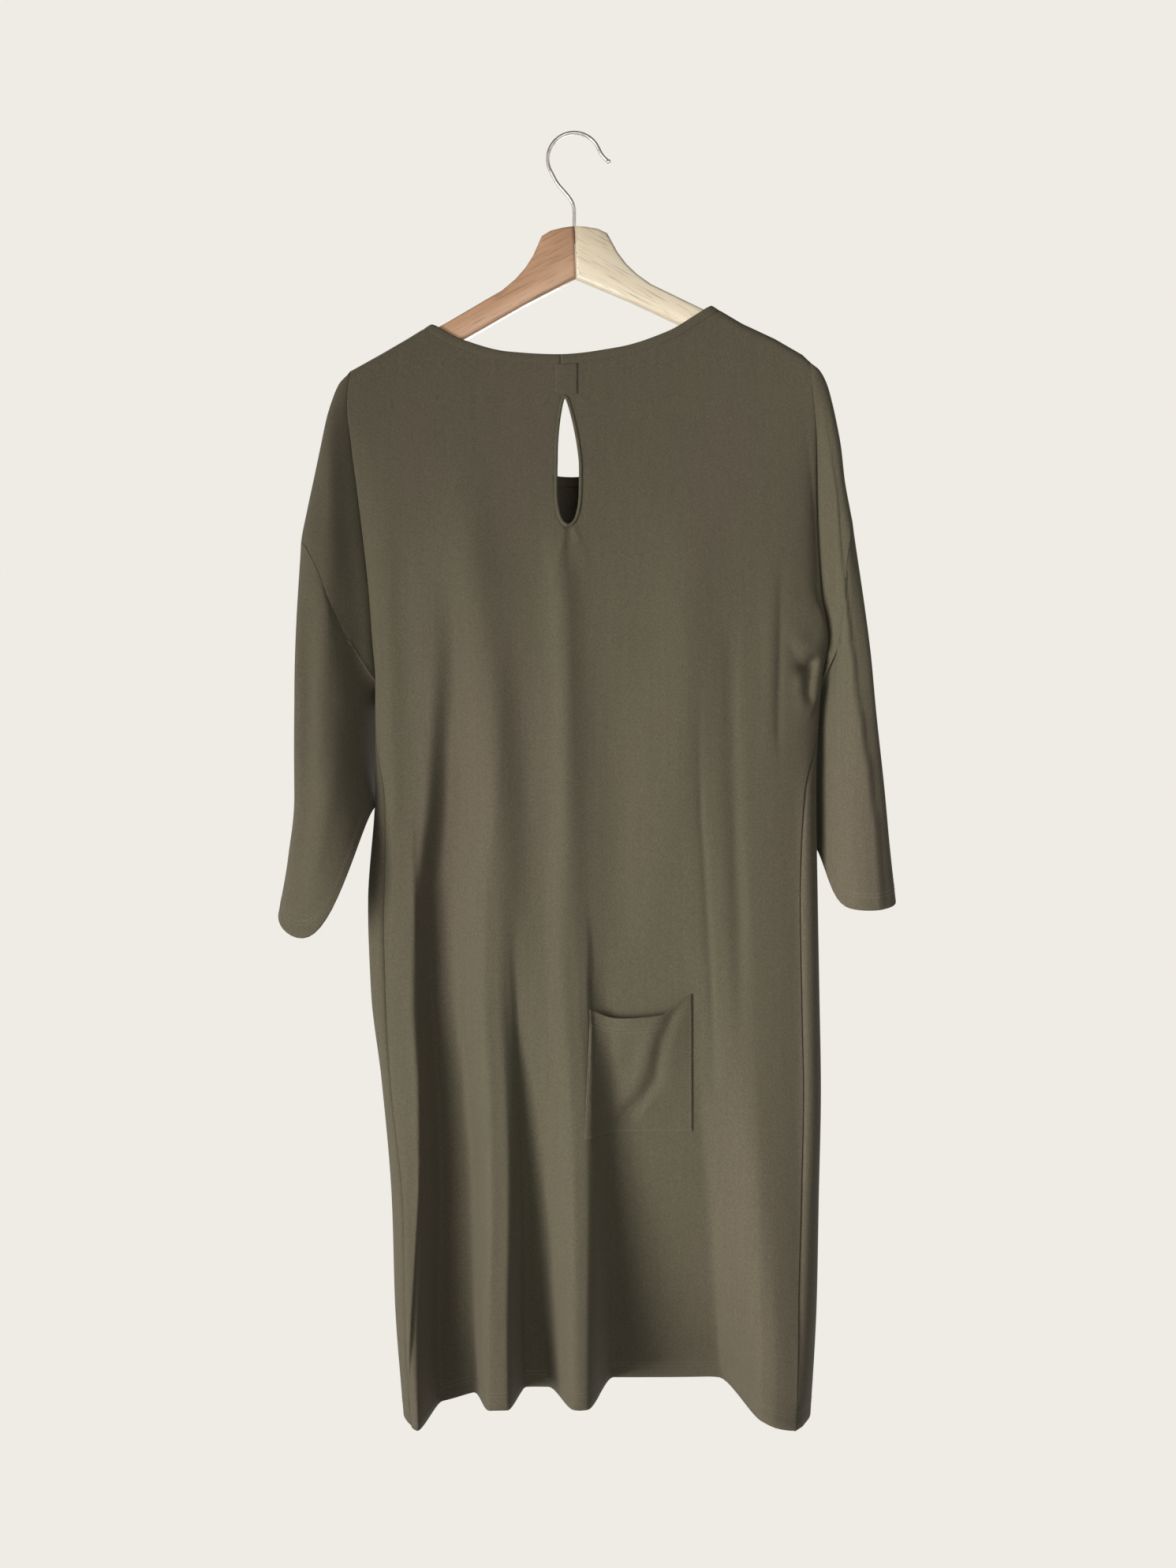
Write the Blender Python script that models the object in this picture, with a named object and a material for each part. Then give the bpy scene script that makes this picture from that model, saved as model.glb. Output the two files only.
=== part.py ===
"""Jersey dress with dropped shoulders, a keyhole slit and a patch pocket, on a wooden hanger.

The origin is the point inside the top of the hook where a rail carries the hanger.
+Z is up, -Y is the side with the keyhole and the pocket, and +X is the wearer's right.
Sizes and tables are in millimetres; the meshes are in metres.
"""

import math

import bmesh
import bpy
import numpy as np
from mathutils import Vector
from mathutils.bvhtree import BVHTree

MM = 0.001

# Driving sizes of the cloth
CLOTH = 1.4
SEAM_GAP = 0.3
EDGE_SHIFT = 0.22
BAND_WIDTH = 8.6
BAND_PROUD = 0.4
HEM_Z = -1132.0
SIDE_DROOP = 20.0
SHOULDER_ROUND = 9.0

# Keyhole slit under the back neck
KEYHOLE_TIP_Z = -243.7
KEYHOLE_HEIGHT = 116.0
KEYHOLE_HALF_WIDTH = 9.6
KEYHOLE_X = -5.2
KEYHOLE_TIP_SHIFT = -3.1
KEYHOLE_WIDEST = 0.6
BINDING_WIDTH = 3.2
BINDING_THICK = 1.8
TAB_X = (-17.0, 3.0)
TAB_THICK = 0.9
BAND_SPLIT_X = -12.0

# Patch pocket: corners as (x, z), and how far its mouth gapes and sags
POCKET_TOP_LEFT = (14.5, -792.0)
POCKET_TOP_RIGHT = (105.0, -779.5)
POCKET_LOW_LEFT = (9.5, -904.0)
POCKET_LOW_RIGHT = (105.5, -903.0)
POCKET_GAPE = 9.0
POCKET_REACH = 3.0
POCKET_MOUTH = {
    "across": (0, 0.09, 0.2, 0.35, 0.5, 0.7, 0.82, 0.9, 1.0),
    "sag": (0, 5, 10, 12.5, 13.5, 14, 9, 3, 0),
}

# Wooden hanger
HANGER_TILT = 2.3
HANGER_TOP = -84.0
WOOD_THICK = 12.0
WOOD_EDGE = 3.0
WIRE = 3.3
HOOK_RADIUS = 24.2
STEM_DEPTH = 16.0

# Body sections from shoulder to hem. Edge columns are where the body meets the arm fold
# or the side; level columns are how far the cloth stands to the back and to the front;
# seam columns are the turn, from the middle of the back, at which the side seam runs.
BODY = {
    "z": (-207, -250, -281, -346, -418, -460, -500, -600, -700, -780, -860, -965, -1060, -1152),
    "left_x": (-203, -206, -203, -195, -187, -184, -181, -181, -187, -184, -174, -164, -160, -152),
    "right_x": (214, 218, 220, 221, 225, 231, 225, 220, 221, 222, 223, 220, 217, 211),
    "back_edge": (-9, -9, -8, -5, -4, -3, -3, -4, -6, -8, -10, -14, -18, -20),
    "front_edge": (9, 9, 10, 11, 8, 3, -3, -4, -6, -8, -10, -14, -18, -20),
    "back_level": (-9, -11, -15, -24, -30, -32, -34, -37, -41, -45, -50, -60, -70, -79),
    "front_level": (9, 11, 15, 24, 31, 34, 37, 42, 47, 51, 56, 64, 71, 78),
    "power": (3.0, 3.0, 2.9, 2.8, 2.7, 2.7, 2.7, 2.7, 2.8, 2.9, 3.0, 3.2, 3.4, 3.6),
    "left_seam": (90, 90, 90, 90, 90, 90, 90, 64, 58, 58, 61, 57, 56, 56),
    "right_seam": (90, 90, 90, 90, 90, 90, 90, 62, 57, 56, 55, 53, 51, 51),
}

# Long folds as inward troughs, from one side across the panel to another, where -1 is the
# left side and 1 the right. Walls are half widths; growth shapes how the depth builds up.
BACK_FOLDS = {
    "name": ("side_valley", "second_valley", "pocket_recess", "chest", "keyhole", "left_corner",
             "right_corner"),
    "start_z": (-400, -640, -600, -330, -350, -760, -860),
    "top_from": (-0.66, -0.36, 0.00, -0.62, -0.17, -0.99, 0.66),
    "top_to": (-0.50, -0.27, 0.48, -0.48, -0.09, -0.92, 0.98),
    "hem_from": (-0.855, -0.43, -0.029, -0.60, -0.17, -0.985, 0.72),
    "hem_to": (-0.603, -0.222, 0.642, -0.44, -0.09, -0.86, 0.97),
    "wall_from": (8, 7, 12, 18, 9, 10, 14),
    "wall_to": (9, 12, 15, 18, 9, 10, 14),
    "depth": (46, 48, 70, -5, -4, -14, -13),
    "growth": (0.9, 1.7, 2.1, 0.3, 0.3, 1.2, 1.5),
}
FRONT_FOLDS = {
    "name": ("front_a", "front_b", "front_c", "front_d"),
    "start_z": (-480, -660, -430, -560),
    "top_from": (-0.80, -0.30, 0.16, 0.66),
    "top_to": (-0.62, -0.20, 0.28, 0.82),
    "hem_from": (-0.74, -0.36, 0.02, 0.52),
    "hem_to": (-0.52, -0.18, 0.24, 0.74),
    "wall_from": (12, 10, 12, 12),
    "wall_to": (13, 12, 10, 14),
    "depth": (30, 40, 34, 36),
    "growth": (1.1, 1.6, 1.2, 1.4),
}

# Shoulder line along the top of the hanger, and the two necklines, as (x, z) columns
SHOULDER = {
    "x": (-216, -203, -177, -152, -131, -100, 100, 126, 153, 183, 208, 223, 230),
    "z": (-230, -216, -201.5, -187, -174, -155, -141, -157, -173, -187, -201.5, -216, -230),
}
BACK_NECK = {
    "x": (-131, -100, -60, -15, 40, 85, 112, 126),
    "z": (-174, -190, -200.5, -203, -196.5, -182, -166, -157),
}
FRONT_NECK = {
    "x": (-131, -118, -86, -46, -2, 44, 84, 114, 126),
    "z": (-174, -212, -268, -302, -309, -299, -262, -200, -157),
}

# Upper arms of the body and the dropped armhole seams
LEFT_ARM = {
    "z": (-216, -230, -245, -259, -288, -317, -346, -374, -400, -436, -490, -560),
    "outer_x": (-203, -215, -221, -225, -231, -237, -243, -248, -250, -253, -254, -255),
    "bulge": (3, 4, 6, 8, 12, 15, 18, 22, 23, 24, 26, 28),
}
RIGHT_ARM = {
    "z": (-207, -216, -230, -245, -259, -288, -317, -346, -374, -400, -436, -490, -560),
    "outer_x": (214, 224, 231, 235, 238, 243, 246, 251, 256, 258, 263, 269, 277),
    "bulge": (3, 3, 4, 6, 8, 12, 15, 18, 21, 23, 25, 27, 29),
}
LEFT_SEAM = {"across": (0.0, 0.2, 0.45, 0.7, 1.0), "z": (-500, -448, -396, -377, -374)}
RIGHT_SEAM = {"across": (0.0, 0.2, 0.45, 0.7, 1.0), "z": (-500, -444, -382, -358, -353)}

# Sleeve sections from the armhole to the cuff. Lean shifts the far side inwards;
# near_drop is how much lower the near edge of a ring hangs.
LEFT_SLEEVE = {
    "outer_z": (-374, -450, -530, -600, -655, -708),
    "inner_z": (-500, -522, -546, -570, -592, -612),
    "outer_x": (-248, -250.5, -249.5, -249, -256.5, -268),
    "inner_x": (-181, -189, -190, -189, -188, -187),
    "near_y": (-26, -30, -36, -46, -56, -64),
    "far_y": (24, 32, 38, 44, 48, 50),
    "lean": (0.0, 0.14, 0.16, 0.1, 0.0, -0.1),
    "near_drop": (0, 2, 8, 21, 40, 58),
}
RIGHT_SLEEVE = {
    "outer_z": (-353, -440, -520, -590, -642, -691),
    "inner_z": (-500, -532, -563, -594, -622, -648),
    "outer_x": (252, 262.6, 268.5, 276, 281.5, 288),
    "inner_x": (225, 228, 228, 227, 227, 227),
    "near_y": (-24, -29, -34, -39, -43, -46),
    "far_y": (24, 32, 39, 45, 49, 52),
    "lean": (0.0, -0.12, -0.16, -0.14, -0.1, -0.06),
    "near_drop": (0, 2, 8, 20, 34, 48),
}
# How the near edge of the left and the right cuff hangs: size, rise from the outer fold,
# and fall towards the inner fold
DROP_SHAPE = {-1: (4.0, 1.0, 1.0), 1: (1.0, 0.5, 8.0)}
# How far the inner fold tucks in behind the side of the body, across and in depth
SLEEVE_TUCK = {-1: (6.5, 19.0), 1: (9.0, 19.0)}
SLEEVE_CREASE = 4.0

# Half of the hanger as (x, z) before it is tilted; its under edge comes second
HANGER_UPPER = (
    (0.2, -84.6), (10.7, -85.6), (21.5, -87.9), (29.8, -92.3), (33.6, -99.9), (38.5, -109.9),
    (45.7, -120.5), (55.5, -130.7), (68, -140.4), (82.4, -148), (102, -158.5), (120, -168),
    (131, -173.5), (152, -185.4), (176, -198.5), (189, -207),
)
HANGER_LOWER = (
    (195, -213), (196, -219), (192, -225), (186, -226), (150, -206.5), (101, -182), (50, -155.5),
    (0.2, -132),
)

# Places of the rows and columns
UPPER_ROWS = (0, 0.004, 0.014, 0.032, 0.07, 0.13, 0.21, 0.3, 0.4, 0.5, 0.6, 0.7, 0.8, 0.9, 1.0)
LOWER_ROWS = 16
COLUMNS = 33
NECK_COLUMNS = (0.0, 1.3, 3.4, 7.0, 14.0)
COLUMN_CLEAR = 0.018
LEVEL_SHARE = 0.80
LEVEL_ACROSS = 0.85
ARM_STEPS = (0.0, 0.07, 0.19, 0.36, 0.56, 0.74, 0.88, 0.965, 1.0)
SLEEVE_ROWS = 14


def smooth(t):
    """Smooth step from 0 to 1."""
    t = min(max(t, 0.0), 1.0)
    return t * t * (3 - 2 * t)


def read(table, column, at, key="z"):
    """A column of a table at any height, with a smooth curve through its rows."""
    knots = table[key]
    values = table[column]
    if knots[0] > knots[-1]:
        knots = [-k for k in knots]
        at = -at
    last = len(knots) - 1
    if at <= knots[0]:
        return float(values[0])
    if at >= knots[last]:
        return float(values[last])
    i = max(k for k in range(last) if knots[k] <= at)
    step = knots[i + 1] - knots[i]
    rise = (values[i + 1] - values[i]) / step

    def slope(k):
        """Slope at a knot, flat where the table turns round."""
        if k in (0, last):
            return rise
        before = (values[k] - values[k - 1]) / (knots[k] - knots[k - 1])
        after = (values[k + 1] - values[k]) / (knots[k + 1] - knots[k])
        return 2 * before * after / (before + after) if before * after > 0 else 0.0

    t = (at - knots[i]) / step
    bend = t * (1 - t) * step
    line = values[i] + (values[i + 1] - values[i]) * t
    return line + bend * ((slope(i) - rise) * (1 - t) - (slope(i + 1) - rise) * t)


def shoulder_z(x):
    """Height of the shoulder line, carried on over the neck opening."""
    return float(np.interp(x, SHOULDER["x"], SHOULDER["z"]))


def neck_line(neck, count):
    """Points along a neckline's free edge, evenly spaced, as an array of (x, z)."""
    fine = np.linspace(neck["x"][0], neck["x"][-1], 240)
    line = np.array([(x, read(neck, "z", x, "x")) for x in fine])
    run = np.concatenate([[0], np.cumsum(np.linalg.norm(np.diff(line, axis=0), axis=1))])
    at = np.linspace(0, run[-1], count)
    return np.stack([np.interp(at, run, line[:, 0]), np.interp(at, run, line[:, 1])], axis=1)


def neck_pair(neck):
    """A neckline's free edge and the seam under its band, point by point. Both necklines
    start and end on the shoulder line, so their ends turn to lie along it."""
    edge = neck_line(neck, 80)
    along = np.gradient(edge, axis=0)
    along /= np.linalg.norm(along, axis=1)[:, None]
    away = np.stack([along[:, 1], -along[:, 0]], axis=1)
    ends = np.array([(-0.84, -0.54), (0.86, -0.51)])
    at = np.linspace(0, 1, len(edge))[:, None]
    turn = np.clip(1 - at / 0.1, 0, 1) ** 2
    away = away * (1 - turn) + ends[0] * turn
    turn = np.clip(1 - (1 - at) / 0.1, 0, 1) ** 2
    away = away * (1 - turn) + ends[1] * turn
    away /= np.linalg.norm(away, axis=1)[:, None]
    seam = edge + away * BAND_WIDTH
    seam[0, 1] = shoulder_z(seam[0, 0])
    seam[-1, 1] = shoulder_z(seam[-1, 0])
    return edge, seam


NECKS = {False: neck_pair(BACK_NECK), True: neck_pair(FRONT_NECK)}
NECK_LEFT_X = float(NECKS[False][1][0, 0])
NECK_RIGHT_X = float(NECKS[False][1][-1, 0])


def top_z(x, front):
    """Height of a panel's upper edge: its shoulder, or the seam of its neckband."""
    if x <= NECK_LEFT_X or x >= NECK_RIGHT_X:
        return shoulder_z(x)
    seam = NECKS[front][1]
    return float(np.interp(x, seam[:, 0], seam[:, 1]))


def trough(across, z, folds, i, half_width):
    """Share of one fold's depth at a place, 1 on its floor."""
    down = (folds["start_z"][i] - z) / (folds["start_z"][i] - HEM_Z)
    if down <= 0:
        return 0.0
    near = folds["top_from"][i] + (folds["hem_from"][i] - folds["top_from"][i]) * down
    far = folds["top_to"][i] + (folds["hem_to"][i] - folds["top_to"][i]) * down
    wide = 1 + 0.8 * max(1 - down, 0)
    rise = smooth((across - near) * half_width / folds["wall_from"][i] / wide / 2 + 0.5)
    fall = smooth((far - across) * half_width / folds["wall_to"][i] / wide / 2 + 0.5)
    return min(down, 1.03) ** folds["growth"][i] * rise * fall


def fold_depth(folds, across, z, half_width):
    """Depth of the long folds at a place on the body, positive inwards."""
    total = 0.0
    for i in range(len(folds["name"])):
        total += folds["depth"][i] * trough(across, z, folds, i, half_width)
    return total * smooth((1 - abs(across)) / 0.1)


def round_over(below):
    """0 on a shoulder seam and 1 once the cloth has rounded over the hanger."""
    left = min(max(1 - below / SHOULDER_ROUND, 0.0), 1.0)
    return math.sqrt(1 - left * left)


def level_turn(across, power):
    """Turn in degrees at which a section is as far across as wanted."""
    depth = (1 - abs(across) ** power) ** (1 / power)
    return math.degrees(math.atan2(abs(across), depth))


def body_point(turn, z, front):
    """A point of the body's section at a height. Turn 0 faces the back's middle, 90 the
    right side and 180 the front's middle; negative turns go round by the left."""
    left = read(BODY, "left_x", z)
    right = read(BODY, "right_x", z)
    power = read(BODY, "power", z)
    s = math.sin(math.radians(turn))
    c = math.cos(math.radians(turn))
    reach = (abs(s) ** power + abs(c) ** power) ** (-1 / power)
    across = s * reach
    on_front = c < -1e-9 or (front and abs(c) < 1e-9)
    edge = read(BODY, "front_edge" if on_front else "back_edge", z)
    level = read(BODY, "front_level" if on_front else "back_level", z)
    inward = fold_depth(FRONT_FOLDS if on_front else BACK_FOLDS, across, z, (right - left) / 2)
    y = edge + (level - edge) * abs(c) * reach + (-inward if on_front else inward)
    x = (left + right) / 2 + (right - left) / 2 * across
    return (x, y * round_over(shoulder_z(x) - z), z)


def surface_y(x, z, front):
    """The outer surface of the back or the front over a place, as its y."""
    left = read(BODY, "left_x", z)
    right = read(BODY, "right_x", z)
    across = min(max((2 * x - left - right) / (right - left), -1.0), 1.0)
    turn = math.copysign(level_turn(across, read(BODY, "power", z)), across)
    return body_point(180 - turn if front else turn, z, front)[1]


def column_turn(share, z, front):
    """Turn of a column at a height: columns run straight down the level part of a panel
    and bunch round its sides up to the side seam."""
    level = level_turn(LEVEL_ACROSS, read(BODY, "power", z))
    seam = read(BODY, "left_seam" if share < 0 else "right_seam", z)
    if abs(share) <= LEVEL_SHARE:
        across = LEVEL_ACROSS * abs(share) / LEVEL_SHARE
        turn = level_turn(across, read(BODY, "power", z))
    else:
        last = 180 - seam if front else seam
        turn = level + (last - level) * (abs(share) - LEVEL_SHARE) / (1 - LEVEL_SHARE)
    turn = math.copysign(turn, share)
    return 180 - turn if front else turn


def column_shares():
    """Places of the columns, closer together on the walls of folds, with a few set exactly
    at the neck, where the cloth rounds over the hanger within a few millimetres."""
    fine = np.linspace(-1, 1, 4001)
    density = np.full(fine.shape, 1.6) + 1.2 * (np.abs(fine) > LEVEL_SHARE)
    for folds in (BACK_FOLDS, FRONT_FOLDS):
        for i, depth in enumerate(folds["depth"]):
            weight = abs(depth) / (14 if folds is BACK_FOLDS else 30)
            for end in ("from", "to"):
                at = folds["hem_" + end][i] * LEVEL_SHARE / LEVEL_ACROSS
                width = folds["wall_" + end][i] / 180 + 0.012
                density += weight * np.exp(-(((fine - at) / width) ** 2))
    total = np.concatenate([[0], np.cumsum((density[1:] + density[:-1]) / 2)])
    even = np.interp(np.linspace(0, total[-1], COLUMNS + 1), total, fine)
    fixed = [BAND_SPLIT_X]
    fixed += [NECK_LEFT_X + away for away in NECK_COLUMNS]
    fixed += [NECK_RIGHT_X - away for away in NECK_COLUMNS]
    fixed = [column_at(x) for x in fixed]
    kept = [s for s in even if abs(s) == 1 or min(abs(s - f) for f in fixed) > COLUMN_CLEAR]
    return np.array(sorted(kept + fixed))


def column_at(x):
    """Share of the column that meets the panel's top edge at a given x."""
    low, high = -0.999, 0.999
    for _ in range(40):
        middle = (low + high) / 2
        if body_cell(middle, 0.0, False)[0] < x:
            low = middle
        else:
            high = middle
    return (low + high) / 2


def body_cell(share, down, front):
    """One point of a body row. Down runs from 0 at the neck and shoulders to 1 at the level
    of the armholes' lower ends and 2 at the hem."""
    left_top, left_under = LEFT_ARM["z"][0], LEFT_SEAM["z"][0]
    right_top, right_under = RIGHT_ARM["z"][0], RIGHT_SEAM["z"][0]
    side_hem = HEM_Z - SIDE_DROOP
    if down <= 1:
        at_left = left_top + (left_under - left_top) * down
        at_right = right_top + (right_under - right_top) * down
    else:
        at_left = left_under + (side_hem - left_under) * (down - 1)
        at_right = right_under + (side_hem - right_under) * (down - 1)
    fade = max(1 - down, 0.0) ** 1.25
    lift = SIDE_DROOP * max(down - 1, 0.0)
    z = (at_left + at_right) / 2
    if share <= -1:
        z = at_left
    elif share >= 1:
        z = at_right
    else:
        for _ in range(8):
            x = body_point(column_turn(share, z, front), z, front)[0]
            left, right = read(BODY, "left_x", z), read(BODY, "right_x", z)
            over = (x - left) / (right - left)
            rise = top_z(x, front) - left_top - (right_top - left_top) * over
            level = lift * (1 - smooth((abs(2 * over - 1) - 0.5) / 0.45))
            z = at_left + (at_right - at_left) * over + rise * fade + level
    return body_point(column_turn(share, z, front), z, front)


def body_grid(front):
    """Rows of points of the body's half from the neck and shoulders down to the hem."""
    downs = list(UPPER_ROWS) + [1 + (i + 1) / LOWER_ROWS for i in range(LOWER_ROWS)]
    return [[body_cell(share, down, front) for share in SHARES] for down in downs]


def arm_point(step, down, side, front):
    """A point of the upper arm: step 0 in the fold beside the body, 1 on the outer fold;
    down 0 at the hanger's end and 1 on the armhole seam."""
    arm = LEFT_ARM if side < 0 else RIGHT_ARM
    seam = LEFT_SEAM if side < 0 else RIGHT_SEAM
    top = arm["z"][0] - 8 * step
    z = top + (read(seam, "z", step, "across") - top) * down
    inner_x = read(BODY, "left_x" if side < 0 else "right_x", z)
    inner_y = read(BODY, "front_edge" if front else "back_edge", z)
    outer_x = read(arm, "outer_x", z)
    bulge = read(arm, "bulge", z) * max(math.sin(math.pi * step), 0.0) ** 0.7
    x = inner_x + (outer_x - inner_x) * math.sin(math.pi / 2 * step ** 0.85)
    y = inner_y * (1 - step) + (bulge if front else -bulge)
    return (x, y * round_over(top - z), z)


def arm_grid(side, front):
    """The upper arm between the body and the dropped armhole seam."""
    steps = ARM_STEPS if side > 0 else ARM_STEPS[::-1]
    return [[arm_point(step, down, side, front) for step in steps] for down in UPPER_ROWS]


def sleeve_ring(down, side):
    """One ring of a sleeve: down 0 at the armhole seam and 1 at the cuff."""
    table = LEFT_SLEEVE if side < 0 else RIGHT_SLEEVE
    keyed = dict(table, share=np.linspace(0, 1, len(table["outer_z"])))
    here = {name: read(keyed, name, down, "share") for name in table}
    near = [(step, False) for step in ARM_STEPS[::-1]]
    far = [(step, True) for step in ARM_STEPS[1:-1]]
    return [sleeve_point(step, front, down, side, here) for step, front in near + far]


def sleeve_point(step, front, down, side, here):
    """A point of a sleeve ring, running on from the armhole seam into the free sleeve."""
    turn = math.pi * (1 - step)
    inward = (1 - math.cos(turn)) / 2
    high = max(math.sin(turn), 0.0)
    y = (here["far_y"] if front else here["near_y"]) * high ** 0.8
    x = here["outer_x"] + (here["inner_x"] - here["outer_x"]) * inward + here["lean"] * y
    z = here["outer_z"] + (here["inner_z"] - here["outer_z"]) * inward
    if not front:
        size, rise, fall = DROP_SHAPE[side]
        z -= here["near_drop"] * size * inward ** rise * (1 - inward ** fall)
        crease = math.exp(-(((step - 0.8) / 0.13) ** 2)) * SLEEVE_CREASE * smooth(down * 3)
        x += side * crease * 0.6
        y -= crease
    tuck = (1 - step) ** 7 * smooth((down - 0.04) / 0.2)
    x -= side * SLEEVE_TUCK[side][0] * tuck
    y += SLEEVE_TUCK[side][1] * tuck
    start_x, start_y, start_z = arm_point(step, 1, side, front)
    start_x += side * 4.5 * (1 - step) ** 6 * min(down / 0.03, 1) ** 0.6
    start_z -= 60 * down
    arm = LEFT_ARM if side < 0 else RIGHT_ARM
    start_x += (read(arm, "outer_x", start_z) - read(arm, "outer_x", start_z + 60 * down)) * step
    mix = smooth(down / 0.28)
    return (
        start_x + (x - start_x) * mix,
        start_y + (y - start_y) * mix,
        start_z + (z - start_z) * mix,
    )


def sleeve_grid(side):
    """Rings of a sleeve tube from the dropped seam to the open cuff, closed round."""
    downs = [0.0, 0.024, 0.05] + [0.05 + 0.95 * i / SLEEVE_ROWS for i in range(1, SLEEVE_ROWS + 1)]
    return [ring + ring[:1] for ring in (sleeve_ring(down, side) for down in downs)]


def band_grid(front, first, last):
    """A neckband strip that shares the panel's columns, from its free edge to its seam."""
    edge, seam = NECKS[front]
    rows = [[], [], []]
    for share in SHARES:
        if not first - 1e-9 <= share <= last + 1e-9:
            continue
        x, y, z = body_cell(share, 0.0, front)
        edge_x = float(np.interp(x, seam[:, 0], edge[:, 0]))
        edge_z = float(np.interp(x, seam[:, 0], edge[:, 1]))
        for row, part in zip(rows, (0.0, 0.5, 1.0)):
            px, pz = edge_x + (x - edge_x) * part, edge_z + (z - edge_z) * part
            row.append((px, surface_y(px, pz, front) if part < 1 else y, pz))
    return rows


def key(point):
    """A point's place to a thousandth of a millimetre, shared by the pieces at a seam."""
    return tuple(round(c, 3) for c in point)


def faces_of(grids, flip):
    """Quads of a piece's grids as point keys, wound to face out."""
    faces = []
    for grid in grids:
        for upper, lower in zip(grid, grid[1:]):
            for i in range(len(upper) - 1):
                quad = [key(p) for p in (upper[i], lower[i], lower[i + 1], upper[i + 1])]
                quad = [k for n, k in enumerate(quad) if k not in quad[:n]]
                if len(quad) > 2:
                    faces.append(quad[::-1] if flip else quad)
    return faces


def add_normals(normals, faces):
    """Adds each face's area and direction to the sums at its points."""
    for face in faces:
        points = np.array(face)
        centre = points.mean(axis=0)
        total = np.zeros(3)
        for a, b in zip(points, np.roll(points, -1, axis=0)):
            total += np.cross(a - centre, b - centre)
        for point in face:
            normals[point] = normals.get(point, np.zeros(3)) + total


def unit(vector):
    """A vector's direction."""
    return vector / max(np.linalg.norm(vector), 1e-9)


def cloth_wall(name, faces, normals, thickness, proud, material):
    """A closed wall from a piece's outer faces. Its edges draw back from the seams so that
    neighbouring pieces, which share points and directions, stand a gap apart; both cut
    the faces of their edges along the same diagonals."""
    edges = {}
    for face in faces:
        for a, b in zip(face, face[1:] + face[:1]):
            edges.setdefault(frozenset((a, b)), []).append((a, b, face))
    rim = [uses[0] for uses in edges.values() if len(uses) == 1]
    draw = {}
    for a, b, face in rim:
        along = unit(np.subtract(b, a))
        inward = np.mean(np.array(face), axis=0) - (np.array(a) + np.array(b)) / 2
        inward = unit(inward - along * np.dot(inward, along))
        for point in (a, b):
            draw.setdefault(point, []).append(inward)
    shape = bmesh.new()
    outer, inner = {}, {}
    for point in {p for face in faces for p in face}:
        shift = np.zeros(3)
        if point in draw:
            ways = draw[point]
            mean = unit(sum(ways))
            shift = mean * EDGE_SHIFT / max(float(np.dot(mean, ways[0])), 0.4)
        place = np.array(point) + shift
        normal = unit(normals[point])
        outer[point] = shape.verts.new(Vector(place + normal * proud) * MM)
        inner[point] = shape.verts.new(Vector(place + normal * (proud - thickness)) * MM)
    for face in faces:
        shape.faces.new([outer[p] for p in face])
        shape.faces.new([inner[p] for p in reversed(face)])
    for a, b, face in rim:
        if a < b:
            shape.faces.new((outer[b], outer[a], inner[b]))
            shape.faces.new((outer[a], inner[a], inner[b]))
        else:
            shape.faces.new((outer[b], outer[a], inner[a]))
            shape.faces.new((outer[b], inner[a], inner[b]))
    mesh = bpy.data.meshes.new(name)
    shape.to_mesh(mesh)
    shape.free()
    mesh.materials.append(material)
    obj = bpy.data.objects.new(name, mesh)
    GARMENT.objects.link(obj)
    return obj


def paint(name, colour, roughness, metallic=0.0):
    """A plain Principled material."""
    material = bpy.data.materials.new(name)
    material.use_nodes = True
    shader = material.node_tree.nodes["Principled BSDF"]
    shader.inputs["Base Color"].default_value = (*colour, 1)
    shader.inputs["Roughness"].default_value = roughness
    shader.inputs["Metallic"].default_value = metallic
    return material


def panel_faces(front):
    """Front or back: the body, and an upper arm on each side that shares its edge."""
    body = body_grid(front)
    left = arm_grid(-1, front)
    right = arm_grid(1, front)
    for i in range(len(UPPER_ROWS)):
        left[i][-1] = body[i][0]
        right[i][0] = body[i][-1]
    return faces_of([body, left, right], front)


def nearest_share(x):
    """The column that was placed at a given x of the top edge."""
    return float(SHARES[int(np.argmin(np.abs(SHARES - column_at(x))))])


def sewn_pieces():
    """The panels, sleeves and neckbands, with directions shared at every seam. Under an
    arm the body and the sleeve part like trouser legs, so the direction there is down."""
    first, split, last = [nearest_share(x) for x in (NECK_LEFT_X, BAND_SPLIT_X, NECK_RIGHT_X)]
    pieces = {
        "back_panel": (panel_faces(False), 0.0),
        "front_panel": (panel_faces(True), 0.0),
        "sleeve_left": (faces_of([sleeve_grid(-1)], False), 0.0),
        "sleeve_right": (faces_of([sleeve_grid(1)], True), 0.0),
        "neckband_back_left": (faces_of([band_grid(False, first, split)], False), BAND_PROUD),
        "neckband_back_right": (faces_of([band_grid(False, split, last)], False), BAND_PROUD),
        "neckband_front": (faces_of([band_grid(True, first, last)], True), BAND_PROUD),
    }
    normals = {}
    for faces, proud in pieces.values():
        add_normals(normals, faces)
    for side in (-1, 1):
        normals[key(arm_point(0, 1, side, False))] = np.array((0.0, 0.0, -1.0))
    return {
        name: cloth_wall(name, faces, normals, CLOTH + proud, proud, JERSEY)
        for name, (faces, proud) in pieces.items()
    }


def loose_piece(name, grid, thickness):
    """A small wall laid on the back, with its own directions."""
    faces = faces_of([grid], False)
    normals = {}
    add_normals(normals, faces)
    return cloth_wall(name, faces, normals, thickness, 0.0, JERSEY)


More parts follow.
